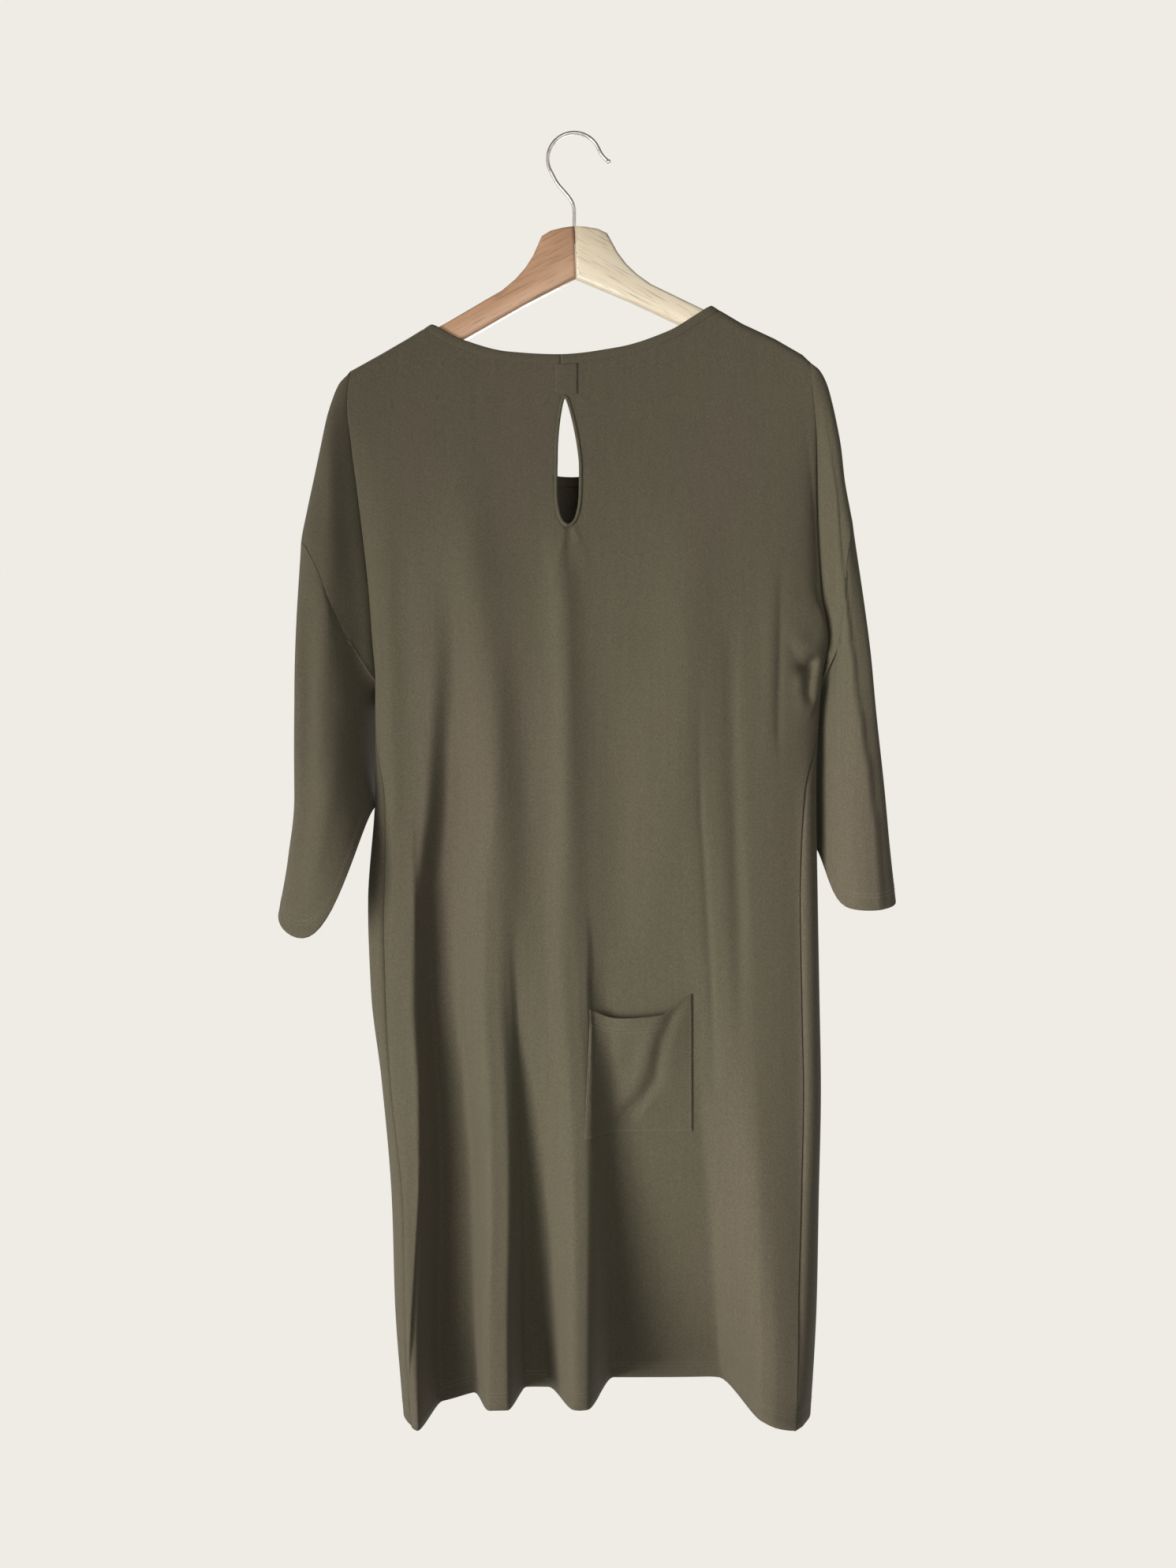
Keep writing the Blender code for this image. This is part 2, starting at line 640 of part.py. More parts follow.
def keyhole_outline(grow, count=44):
    """Points (x, z) round the keyhole, moved out by grow; a pointed top and a round foot."""
    points = []
    for i in range(count):
        turn = 2 * math.pi * i / count
        t = (1 - math.cos(turn)) / 2
        if t < KEYHOLE_WIDEST:
            width = math.sin(math.pi / 2 * t / KEYHOLE_WIDEST) ** 0.75
        else:
            width = math.sqrt(max(1 - ((t - KEYHOLE_WIDEST) / (1 - KEYHOLE_WIDEST)) ** 3.4, 0))
        side = 1 if turn <= math.pi else -1
        middle = KEYHOLE_X + KEYHOLE_TIP_SHIFT * (1 - min(t / 0.5, 1))
        points.append((middle + side * width * KEYHOLE_HALF_WIDTH, KEYHOLE_TIP_Z - t * KEYHOLE_HEIGHT))
    outline = np.array(points)
    along = np.roll(outline, -1, axis=0) - np.roll(outline, 1, axis=0)
    along /= np.linalg.norm(along, axis=1)[:, None]
    return outline + np.stack([-along[:, 1], along[:, 0]], axis=1) * grow


def outline_solid(name, outline, thickness, bevel=0.0):
    """A mesh of a flat (x, z) outline, given a thickness along Y and rounded edges."""
    curve = bpy.data.curves.new(name, "CURVE")
    curve.dimensions = "2D"
    curve.fill_mode = "BOTH"
    curve.extrude = (thickness / 2 - bevel) * MM
    curve.bevel_depth = bevel * MM
    curve.bevel_resolution = 1
    curve.offset = -bevel * MM
    line = curve.splines.new("POLY")
    line.points.add(len(outline) - 1)
    for point, (x, z) in zip(line.points, outline):
        point.co = (x * MM, z * MM, 0, 1)
    line.use_cyclic_u = True
    holder = bpy.data.objects.new(name + "_curve", curve)
    holder.rotation_euler = (math.pi / 2, 0, 0)
    CUTTERS.objects.link(holder)
    bpy.context.view_layer.update()
    mesh = bpy.data.meshes.new_from_object(holder.evaluated_get(bpy.context.evaluated_depsgraph_get()))
    mesh.transform(holder.matrix_world)
    bpy.data.objects.remove(holder)
    shape = bmesh.new()
    shape.from_mesh(mesh)
    bmesh.ops.remove_doubles(shape, verts=shape.verts, dist=1e-6)
    bmesh.ops.recalc_face_normals(shape, faces=shape.faces)
    shape.to_mesh(mesh)
    shape.free()
    return mesh


def cut_keyhole(back):
    """Cuts the slit through the back, wide enough for its binding."""
    mesh = outline_solid("keyhole_cutter", keyhole_outline(BINDING_WIDTH + SEAM_GAP), 60)
    for vertex in mesh.vertices:
        vertex.co.y -= 30 * MM
    cutter = bpy.data.objects.new("keyhole_cutter", mesh)
    cutter.hide_render = True
    cutter.display_type = "WIRE"
    CUTTERS.objects.link(cutter)
    cut = back.modifiers.new("Keyhole", "BOOLEAN")
    cut.operation = "DIFFERENCE"
    cut.object = cutter


def keyhole_binding():
    """The rolled strip round the slit."""
    grid = []
    for grow, proud in ((0.0, 0.1), (BINDING_WIDTH * 0.5, 0.9), (BINDING_WIDTH, 0.0)):
        ring = [(x, surface_y(x, z, False) - proud, z) for x, z in keyhole_outline(grow)]
        grid.append(ring + ring[:1])
    return loose_piece("keyhole_binding", grid, BINDING_THICK)


def keyhole_tab():
    """The lapped ends of the slit between the neckband and the keyhole."""
    low = KEYHOLE_TIP_Z + BINDING_WIDTH + 2 * SEAM_GAP
    grid = []
    for i in range(5):
        row = []
        for j in range(5):
            x = TAB_X[0] + (TAB_X[1] - TAB_X[0]) * j / 4
            high = top_z(x, False) - 2 * SEAM_GAP
            z = high + (low - high) * i / 4
            row.append((x, surface_y(x, z, False) - TAB_THICK - SEAM_GAP, z))
        grid.append(row)
    return loose_piece("keyhole_tab", grid, TAB_THICK)


def panel_front_y(tree, x, z):
    """The nearest the back panel stands to the viewer around a place."""
    best = 0.0
    for dx in (-POCKET_REACH, 0, POCKET_REACH):
        for dz in (-POCKET_REACH, 0, POCKET_REACH):
            start = Vector((x + dx, -400, z + dz)) * MM
            place = tree.ray_cast(start, Vector((0, 1, 0)))[0]
            best = min(best, place.y / MM)
    return best


def pocket(back):
    """The patch pocket, a wall on the back's own points moved out, gaping at its mouth."""
    tree = BVHTree.FromPolygons(
        [v.co for v in back.data.vertices], [p.vertices for p in back.data.polygons]
    )
    downs = (0, 0.05, 0.1, 0.16, 0.24, 0.33, 0.43, 0.54, 0.66, 0.78, 0.9, 1.0)
    acrosses = [i / 18 for i in range(19)]
    grid = []
    for down in downs:
        row = []
        for across in acrosses:
            top_x = POCKET_TOP_LEFT[0] + (POCKET_TOP_RIGHT[0] - POCKET_TOP_LEFT[0]) * across
            low_x = POCKET_LOW_LEFT[0] + (POCKET_LOW_RIGHT[0] - POCKET_LOW_LEFT[0]) * across
            top = POCKET_TOP_LEFT[1] + (POCKET_TOP_RIGHT[1] - POCKET_TOP_LEFT[1]) * across
            low = POCKET_LOW_LEFT[1] + (POCKET_LOW_RIGHT[1] - POCKET_LOW_LEFT[1]) * across
            top -= read(POCKET_MOUTH, "sag", across, "across")
            x = top_x + (low_x - top_x) * down
            z = top + (low - top) * down
            free = max(math.sin(math.pi * across), 0.0) ** 0.8 * (1 - down) ** 1.6
            y = panel_front_y(tree, x, z) - CLOTH - SEAM_GAP - POCKET_GAPE * free
            row.append((x, y, z))
        grid.append(row)
    return loose_piece("patch_pocket", grid, CLOTH)


def hanger_half(name, side, material):
    """Half of the wooden hanger, a flat outline with rounded edges, bored for the stem."""
    tilt = math.radians(HANGER_TILT)
    outline = []
    for x, z in HANGER_UPPER + HANGER_LOWER:
        drop = z - HANGER_TOP
        across = side * x * math.cos(tilt) - drop * math.sin(tilt)
        outline.append((across, side * x * math.sin(tilt) + drop * math.cos(tilt) + HANGER_TOP))
    mesh = outline_solid(name, outline, WOOD_THICK, WOOD_EDGE)
    mesh.materials.clear()
    mesh.materials.append(material)
    obj = bpy.data.objects.new(name, mesh)
    GARMENT.objects.link(obj)
    bore = obj.modifiers.new("Bore", "BOOLEAN")
    bore.operation = "DIFFERENCE"
    bore.object = stem_cutter()
    return obj


def stem_cutter():
    """The drill for the hook's stem, shared by both halves."""
    if "stem_cutter" in bpy.data.objects:
        return bpy.data.objects["stem_cutter"]
    length = STEM_DEPTH + 14
    radius = (WIRE / 2 + SEAM_GAP) * MM
    shape = bmesh.new()
    bmesh.ops.create_cone(
        shape, cap_ends=True, segments=16, radius1=radius, radius2=radius, depth=length * MM
    )
    mesh = bpy.data.meshes.new("stem_cutter")
    shape.to_mesh(mesh)
    shape.free()
    cutter = bpy.data.objects.new("stem_cutter", mesh)
    cutter.location = (0, 0, (HANGER_TOP - STEM_DEPTH - SEAM_GAP + length / 2) * MM)
    cutter.hide_render = True
    cutter.display_type = "WIRE"
    CUTTERS.objects.link(cutter)
    return cutter


def hook_path():
    """The wire's centre line: stem, S bend, round top and flared tip, as (x, z)."""
    centre_z = WIRE / 2 - HOOK_RADIUS
    path = [(0, HANGER_TOP - STEM_DEPTH), (0, -76), (0, -70.5), (-0.8, -65), (-3.4, -59.3)]
    path += [(-8.5, -52.8), (-15, -45.2)]
    for i in range(17):
        angle = math.radians(212 - (212 - 24) * i / 16)
        path.append((HOOK_RADIUS * math.cos(angle), centre_z + HOOK_RADIUS * math.sin(angle)))
    return path + [(24.4, -17.2), (27.0, -20.8), (30.0, -23.6)]


def hook(material):
    """The wire hook with a ball on its tip, swept as one ring of points along its path."""
    path = hook_path()
    radii = [WIRE / 2] * len(path)
    last = path[-1]
    for ahead, radius in ((0.9, 1.95), (2.2, 2.1), (3.4, 1.6), (4.1, 0.7)):
        path.append((last[0] + ahead * 0.78, last[1] - ahead * 0.62))
        radii.append(radius)
    points = np.array(path)
    along = np.gradient(points, axis=0)
    along /= np.linalg.norm(along, axis=1)[:, None]
    shape = bmesh.new()
    rings = []
    for (x, z), (ax, az), radius in zip(points, along, radii):
        ring = []
        for i in range(12):
            turn = 2 * math.pi * i / 12
            across = radius * math.cos(turn)
            place = (x + az * across, radius * math.sin(turn), z - ax * across)
            ring.append(shape.verts.new(Vector(place) * MM))
        rings.append(ring)
    for a, b in zip(rings, rings[1:]):
        for i in range(12):
            shape.faces.new((a[i], a[(i + 1) % 12], b[(i + 1) % 12], b[i]))
    shape.faces.new(rings[0])
    shape.faces.new(rings[-1])
    bmesh.ops.recalc_face_normals(shape, faces=shape.faces)
    mesh = bpy.data.meshes.new("hanger_hook")
    shape.to_mesh(mesh)
    shape.free()
    mesh.materials.append(material)
    GARMENT.objects.link(bpy.data.objects.new("hanger_hook", mesh))


for old in list(bpy.data.objects):
    bpy.data.objects.remove(old)
GARMENT = bpy.data.collections.new("jersey_dress")
CUTTERS = bpy.data.collections.new("cutters")
bpy.context.scene.collection.children.link(GARMENT)
bpy.context.scene.collection.children.link(CUTTERS)

JERSEY = paint("olive_jersey", (0.121, 0.105, 0.070), 0.85)
RED_WOOD = paint("red_wood", (0.45, 0.24, 0.13), 0.5)
PALE_WOOD = paint("pale_wood", (0.70, 0.52, 0.30), 0.5)
STEEL = paint("steel_wire", (0.52, 0.50, 0.47), 0.3, 1.0)

SHARES = column_shares()
pieces = sewn_pieces()
cut_keyhole(pieces["back_panel"])
keyhole_binding()
keyhole_tab()
pocket(pieces["back_panel"])
hanger_half("hanger_left", -1, RED_WOOD)
hanger_half("hanger_right", 1, PALE_WOOD)
hook(STEEL)
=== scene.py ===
"""Looks of the jersey dress on its wooden hanger: fine cloth, creases, stitching, wood and wire.

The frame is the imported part: the origin is the point inside the hook where a rail carries the
hanger, +Z is up and -Y is the side with the keyhole. Tables are in millimetres.
"""

import math
from collections import namedtuple

import bmesh
import bpy
import numpy as np
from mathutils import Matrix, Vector
from mathutils.bvhtree import BVHTree


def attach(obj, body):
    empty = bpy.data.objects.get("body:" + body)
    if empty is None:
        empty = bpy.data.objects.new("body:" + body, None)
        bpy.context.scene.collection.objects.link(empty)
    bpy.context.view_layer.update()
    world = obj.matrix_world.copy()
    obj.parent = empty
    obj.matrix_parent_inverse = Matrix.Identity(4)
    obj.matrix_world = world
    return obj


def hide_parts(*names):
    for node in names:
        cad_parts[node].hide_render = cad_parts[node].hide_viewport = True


bl_info = {
    "name": "Jersey dress on a hanger",
    "version": (1, 0, 0),
    "blender": (4, 5, 0),
    "location": "3D View > Sidebar > Dress",
    "description": "Builds the cloth, the stitching, the hanger and the stage of a jersey dress",
    "category": "Object",
}

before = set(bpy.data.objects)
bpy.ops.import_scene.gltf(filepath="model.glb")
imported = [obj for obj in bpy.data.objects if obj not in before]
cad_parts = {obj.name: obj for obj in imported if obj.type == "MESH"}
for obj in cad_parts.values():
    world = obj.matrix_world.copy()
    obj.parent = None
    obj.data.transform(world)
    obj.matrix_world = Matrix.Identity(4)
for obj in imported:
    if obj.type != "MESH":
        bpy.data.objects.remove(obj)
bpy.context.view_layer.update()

MM = 0.001

# Driving sizes of the cloth
CLOTH = 1.4
SEAM_GAP = 0.3
BAND_WIDTH = 8.6
BAND_TUCK = 0.7
BAND_PUFF = 1.0
BAND_WALL = CLOTH + 0.5
TRIM_Z = -232.0
HEM_Z = -1132.0
SIDE_DROOP = 20.0
SHOULDER_ROUND = 9.0

# Keyhole slit under the back neck
KEYHOLE_TIP_Z = -243.7
KEYHOLE_HEIGHT = 116.0
KEYHOLE_HALF_WIDTH = 9.6
KEYHOLE_X = -5.2
KEYHOLE_TIP_SHIFT = -3.1
KEYHOLE_WIDEST = 0.6
BINDING_WIDTH = 3.2
BINDING_RISE = 1.15
BINDING_LIFT = 0.15
BINDING_SIDES = 12
# Tab over its top: where it lies, the cells of its grid across and down, and its rolled edge
TAB_X = (-17.0, 3.0)
TAB_THICK = 0.9
TAB_SIZE = (20, 24)
TAB_ROLL = 0.5
TAB_ROLL_WIDTH = 1.5
# Where the two strips of the back's neckband meet
BAND_SPLIT_X = -12.0

# Patch pocket: corners as (x, z), and how far its mouth gapes and sags
POCKET_TOP_LEFT = (14.5, -792.0)
POCKET_TOP_RIGHT = (105.0, -779.5)
POCKET_LOW_LEFT = (9.5, -904.0)
POCKET_LOW_RIGHT = (105.5, -903.0)
POCKET_GAPE = 9.0
POCKET_REACH = 1.2
POCKET_WALL = 0.8
POCKET_LIFT = 0.25
POCKET_MOUTH = {
    "across": (0, 0.09, 0.2, 0.35, 0.5, 0.7, 0.82, 0.9, 1.0),
    "sag": (0, 5, 10, 12.5, 13.5, 14, 9, 3, 0),
}

# Body sections from shoulder to hem, as in the part's source
BODY = {
    "z": (-207, -250, -281, -346, -418, -460, -500, -600, -700, -780, -860, -965, -1060, -1152),
    "left_x": (-203, -206, -203, -195, -187, -184, -181, -181, -187, -184, -174, -164, -160, -152),
    "right_x": (214, 218, 220, 221, 225, 231, 225, 220, 221, 222, 223, 220, 217, 211),
    "back_edge": (-9, -9, -8, -5, -4, -3, -3, -4, -6, -8, -10, -14, -18, -20),
    "front_edge": (9, 9, 10, 11, 8, 3, -3, -4, -6, -8, -10, -14, -18, -20),
    "back_level": (-9, -11, -15, -24, -30, -32, -34, -37, -41, -45, -50, -60, -70, -79),
    "front_level": (9, 11, 15, 24, 31, 34, 37, 42, 47, 51, 56, 64, 71, 78),
    "power": (3.0, 3.0, 2.9, 2.8, 2.7, 2.7, 2.7, 2.7, 2.8, 2.9, 3.0, 3.2, 3.4, 3.6),
    "left_seam": (90, 90, 90, 90, 90, 90, 90, 64, 58, 58, 61, 57, 56, 56),
    "right_seam": (90, 90, 90, 90, 90, 90, 90, 62, 57, 56, 55, 53, 51, 51),
}

# Long folds as inward troughs, from one side across the panel to another
BACK_FOLDS = {
    "start_z": (-400, -640, -600, -330, -350, -760, -860),
    "top_from": (-0.66, -0.36, 0.00, -0.62, -0.17, -0.99, 0.66),
    "top_to": (-0.50, -0.27, 0.48, -0.48, -0.09, -0.92, 0.98),
    "hem_from": (-0.855, -0.43, -0.029, -0.60, -0.17, -0.985, 0.72),
    "hem_to": (-0.603, -0.222, 0.642, -0.44, -0.09, -0.86, 0.97),
    "wall_from": (8, 7, 12, 18, 9, 10, 14),
    "wall_to": (9, 12, 15, 18, 9, 10, 14),
    "depth": (46, 48, 70, -5, -4, -14, -13),
    "growth": (0.9, 1.7, 2.1, 0.3, 0.3, 1.2, 1.5),
}
FRONT_FOLDS = {
    "start_z": (-480, -660, -430, -560),
    "top_from": (-0.80, -0.30, 0.16, 0.66),
    "top_to": (-0.62, -0.20, 0.28, 0.82),
    "hem_from": (-0.74, -0.36, 0.02, 0.52),
    "hem_to": (-0.52, -0.18, 0.24, 0.74),
    "wall_from": (12, 10, 12, 12),
    "wall_to": (13, 12, 10, 14),
    "depth": (30, 40, 34, 36),
    "growth": (1.1, 1.6, 1.2, 1.4),
}

# How much wider the left and the right wall of a long fold are where it starts, for the
# front and the back
FOLD_SPREAD = ((0.8, 0.8), (0.3, 1.8))

# Shoulder line along the top of the hanger, and the two necklines, as (x, z) columns
SHOULDER = {
    "x": (-216, -203, -177, -152, -131, -100, 100, 126, 153, 183, 208, 223, 230),
    "z": (-230, -216, -201.5, -187, -174, -155, -141, -157, -173, -187, -201.5, -216, -230),
}
BACK_NECK = {
    "x": (-131, -100, -60, -15, 40, 85, 112, 126),
    "z": (-174, -190, -200.5, -203, -196.5, -182, -166, -157),
}
FRONT_NECK = {
    "x": (-131, -118, -86, -46, -2, 44, 84, 114, 126),
    "z": (-174, -212, -268, -302, -309, -299, -262, -200, -157),
}
# Points along a neckline, and where its band turns along the shoulder at either end
NECK_POINTS = 80
NECK_END_TURNS = ((-0.84, -0.54), (0.86, -0.51))
NECK_END_SHARE = 0.1

# Upper arms of the body and the dropped armhole seams
LEFT_ARM = {
    "z": (-216, -230, -245, -259, -288, -317, -346, -374, -400, -436, -490, -560),
    "outer_x": (-203, -215, -221, -225, -231, -237, -243, -248, -250, -253, -254, -255),
    "bulge": (3, 4, 6, 8, 12, 15, 18, 22, 23, 24, 26, 28),
}
RIGHT_ARM = {
    "z": (-207, -216, -230, -245, -259, -288, -317, -346, -374, -400, -436, -490, -560),
    "outer_x": (214, 224, 231, 235, 238, 243, 246, 251, 256, 258, 263, 269, 277),
    "bulge": (3, 3, 4, 6, 8, 12, 15, 18, 21, 23, 25, 27, 29),
}
LEFT_SEAM = {"across": (0.0, 0.2, 0.45, 0.7, 1.0), "z": (-500, -448, -396, -377, -374)}
RIGHT_SEAM = {"across": (0.0, 0.2, 0.45, 0.7, 1.0), "z": (-500, -444, -382, -358, -353)}

# Sleeve sections from the armhole to the cuff
LEFT_SLEEVE = {
    "outer_z": (-374, -450, -530, -600, -655, -708),
    "inner_z": (-500, -522, -546, -570, -592, -612),
    "outer_x": (-248, -250.5, -249.5, -249, -256.5, -268),
    "inner_x": (-181, -189, -190, -189, -188, -187),
    "near_y": (-26, -30, -36, -46, -56, -64),
    "far_y": (24, 32, 38, 44, 48, 50),
    "lean": (0.0, 0.14, 0.16, 0.1, 0.0, -0.1),
    "near_drop": (0, 2, 8, 21, 40, 58),
}
RIGHT_SLEEVE = {
    "outer_z": (-353, -440, -520, -590, -642, -691),
    "inner_z": (-500, -532, -563, -594, -622, -648),
    "outer_x": (252, 262.6, 268.5, 276, 281.5, 288),
    "inner_x": (225, 228, 228, 227, 227, 227),
    "near_y": (-24, -29, -34, -39, -43, -46),
    "far_y": (24, 32, 39, 45, 49, 52),
    "lean": (0.0, -0.12, -0.16, -0.14, -0.1, -0.06),
    "near_drop": (0, 2, 8, 20, 34, 48),
}
# How the near edge of the left and the right cuff hangs: size, rise from the outer fold,
# and fall towards the inner fold
DROP_SHAPE = {-1: (4.0, 1.0, 1.0), 1: (1.12, 0.6, 14.0)}
# How far the inner fold tucks in behind the side of the body, across and in depth
SLEEVE_TUCK = {-1: (6.5, 19.0), 1: (9.0, 19.0)}
# How far it tucks in just below the armhole seam, across and in depth, over a share of the
# sleeve's length
SEAM_TUCK = (1.5, 4.0)
SEAM_TUCK_LENGTH = 0.03
TUCK_LENGTH = 0.01
# One upright crease on the near half: its depth, and its place and width as shares across
SLEEVE_CREASE = 4.0
SLEEVE_CREASE_AT = 0.8
SLEEVE_CREASE_WIDTH = 0.13
# Below the seam a sleeve first runs straight down, and blends into its own sections
SLEEVE_BLEND = 0.28
SLEEVE_START_DROP = 60
SEAM_SINK = 0.96
SIDE_SEAM_SINK = 0.7

# Fineness of the cloth
COLUMNS = 200
COLUMN_GAP = 0.006
BAND_END_COLUMNS = (0.0, 1.3, 3.4, 7.0)
LEVEL_SHARE = 0.80
LEVEL_ACROSS = 0.85
TOP_DOWNS = (0.0, 0.002, 0.005, 0.009, 0.014, 0.021, 0.03, 0.04)
UPPER_ROWS = np.concatenate([TOP_DOWNS, np.linspace(0.05, 0.74, 42), np.linspace(0.745, 1.0, 36)])
LOWER_ROWS = np.concatenate([np.linspace(1.0, 1.06, 13)[1:], np.linspace(1.07, 2.0, 86)])
ARM_STEPS = (1 - np.cos(np.linspace(0, math.pi, 39))) / 2
SLEEVE_ROWS = np.concatenate([[0.0, 0.006, 0.014, 0.024, 0.036], np.linspace(0.05, 1.0, 130)])
POCKET_ROWS = np.concatenate([[0, 0.006, 0.014], np.linspace(0.024, 0.985, 60), [0.993, 1.0]])
POCKET_COLUMNS = np.concatenate([[0, 0.008], np.linspace(0.02, 0.98, 56), [0.992, 1.0]])
BAND_ROWS = (0.0, 0.12, 0.3, 0.5, 0.7, 0.85, 0.95, 1.0, 1.12)

# One crease: ridge is a soft swell, crisp a sharp one and lap an edge that falls away on the
# left of its path. Depth is towards the viewer, and each path point is (x, z, strength).
Crease = namedtuple("Crease", "kind width depth path")
BACK_CREASES = (
    Crease("ridge", 13, 4.2, (
        (-16, -360, 0.2), (-11, -428, 1), (-7, -527, 1), (-4, -625, 0.8), (-2, -702, 0.4),
        (-1, -771, 0),
    )),
    Crease("crisp", 3, 2.0, ((-8, -363, 1), (-11, -378, 0.8), (-15, -400, 0.4), (-19, -425, 0))),
    Crease("crisp", 3, 2.0, ((0, -363, 1), (7, -378, 0.8), (12, -396, 0.4), (17, -418, 0))),
    Crease("crisp", 2.5, -1.8, ((-4, -364, 1), (-5, -385, 0.6), (-5, -410, 0))),
    Crease("crisp", 2.5, -1.3, ((3, -363, 0.8), (9, -385, 0.5), (16, -405, 0))),
    Crease("crisp", 2.5, -1.3, ((-11, -362, 0.8), (-17, -384, 0.5), (-26, -405, 0))),
    Crease("ridge", 22, 7, (
        (-100, -284, 0), (-92, -385, 0.8), (-84, -471, 1), (-74, -562, 1), (-66, -653, 0.7),
        (-62, -737, 0.4), (-60, -820, 0),
    )),
    Crease("ridge", 15, -3, (
        (-156, -357, 0), (-152, -449, 1), (-148, -527, 1), (-146, -597, 0.6), (-145, -653, 0),
    )),
    Crease("ridge", 10, 3, (
        (-175, -284, 0), (-172, -385, 0.8), (-168, -492, 1), (-164, -597, 1), (-161, -667, 0.7),
        (-157, -771, 0.3),
    )),
    Crease("crisp", 3.5, -1.9, (
        (111, -500, 0), (112, -569, 0.6), (113, -620, 1), (118, -690, 1), (122, -772, 1),
        (124, -842, 0.7), (126, -902, 0),
    )),
    Crease("ridge", 7, -2.4, (
        (139, -440, 0), (141, -500, 0.7), (142, -580, 0.8), (144, -640, 1), (147, -720, 1),
        (148, -780, 0.6), (149, -840, 0),
    )),
    Crease("crisp", 3, -2.6, (
        (186, -400, 0.2), (185, -450, 0.8), (184, -500, 1), (183, -545, 0.8), (184, -575, 0),
    )),
    Crease("ridge", 8, 1.5, ((178, -380, 0), (177, -456, 1), (175, -520, 0.8), (176, -590, 0))),
    Crease("ridge", 26, 4, (
        (102, -313, 0), (102, -400, 0.8), (99, -492, 1), (94, -597, 0.6), (93, -667, 0),
    )),
    Crease("ridge", 18, 3, (
        (-55, -442, 0), (-46, -527, -0.8), (-42, -597, -1), (-39, -681, -0.8), (-36, -737, 0),
    )),
    Crease("ridge", 20, -3, (
        (30, -456, 0), (37, -548, 0.8), (40, -653, 1), (44, -723, 0.5), (45, -758, 0),
    )),
    Crease("ridge", 9, 7, (
        (212, -560, 0), (212, -620, 0.7), (213, -700, 1), (214, -780, 1), (213, -900, 1),
        (211, -985, 1), (208, -1060, 1), (203, -1125, 0.7),
    )),
    Crease("crisp", 4, -6, ((194, -468, 0.1), (201, -481, 0.4), (206, -488, 0.8), (211, -488, 1))),
    Crease("crisp", 3.5, -8, (
        (207, -489, 0.7), (213, -486, 1), (218, -479, 1), (225, -476, 1), (231, -472, 0.7),
        (239, -466, 0.3),
    )),
    Crease("ridge", 8, 3.5, ((199, -456, 0.2), (208, -470, 1), (219, -470, 1), (230, -461, 0.4))),
    Crease("crisp", 4, -8, ((214, -487, 1), (211, -498, 1), (210, -511, 0.9), (215, -520, 0.3))),
    Crease("ridge", 7, 4, ((221, -486, 1), (221, -497, 1), (219, -508, 0.5))),
    Crease("ridge", 5, 4, ((200, -490, 0), (204, -500, 0.8), (205, -516, 0.6), (206, -535, 0))),
    Crease("lap", 8, 4.5, (
        (239, -467, 0.5), (233, -484, 0.9), (228, -497, 1), (222, -511, 1), (217, -524, 0.8),
        (213, -534, 0.2),
    )),
    Crease("lap", 7, 3, (
        (221, -428, 1), (227, -446, 1), (232, -457, 0.9), (239, -466, 0.5),
    )),
    Crease("crisp", 5, -5, (
        (209, -250, 0), (214, -300, 0.4), (218, -345, 0.8), (220, -385, 1), (221, -428, 0.8),
    )),
    Crease("lap", 8, 3.4, (
        (226, -255, 0.1), (237, -332, 0.7), (240, -385, 1), (247, -456, 1), (255, -527, 1),
        (263, -583, 1), (269, -634, 1), (273, -697, 1),
    )),
    Crease("ridge", 9, 3, (
        (-221, -262, 0.4), (-219, -313, 1), (-218, -385, 1), (-220, -442, 0.8), (-224, -513, 0.5),
        (-228, -583, 0.2),
    )),
    Crease("ridge", 7, -2.5, (
        (-204, -342, 0), (-199, -400, 0.8), (-195, -456, 1), (-198, -513, 0.7), (-203, -569, 0),
    )),
    Crease("crisp", 3, -2.5, ((-192, -410, 0.2), (-187, -432, 1), (-181, -448, 0.8))),
    Crease("ridge", 8, -2.5, (
        (-236, -396, 0), (-240, -470, 0.8), (-236, -560, 1), (-238, -650, 0.6), (-242, -690, 0),
    )),
    Crease("ridge", 10, 2.5, ((-214, -540, 0), (-216, -600, 1), (-226, -660, 0.8), (-236, -710, 0))),
    Crease("lap", 18, 4, (
        (12, -702, 0), (14, -737, 0.5), (14, -778, 0.8), (16, -827, 0.8), (16, -895, 1),
        (20, -922, 1), (21, -983, 1), (22, -1042, 1), (22, -1105, 1),
    )),
    Crease("lap", 20, 5, (
        (-57, -717, 0), (-53, -791, 0.4), (-51, -864, 0.8), (-48, -972, 1), (-46, -1111, 1),
    )),
    Crease("lap", 12, 5, (
        (-143, -600, 0), (-142, -668, 0.5), (-137, -772, 0.9), (-135, -860, 1), (-135, -943, 1),
        (-139, -1030, 1), (-142, -1090, 0.9), (-144, -1130, 0.7),
    )),
    Crease("ridge", 9, 4.5, (
        (123, -861, 0), (127, -900, 0.3), (134, -1009, 0.7), (141, -1079, 1), (146, -1116, 1),
    )),
    Crease("ridge", 14, -3, ((153, -983, 0), (161, -1069, 0.8), (169, -1128, 1))),
)
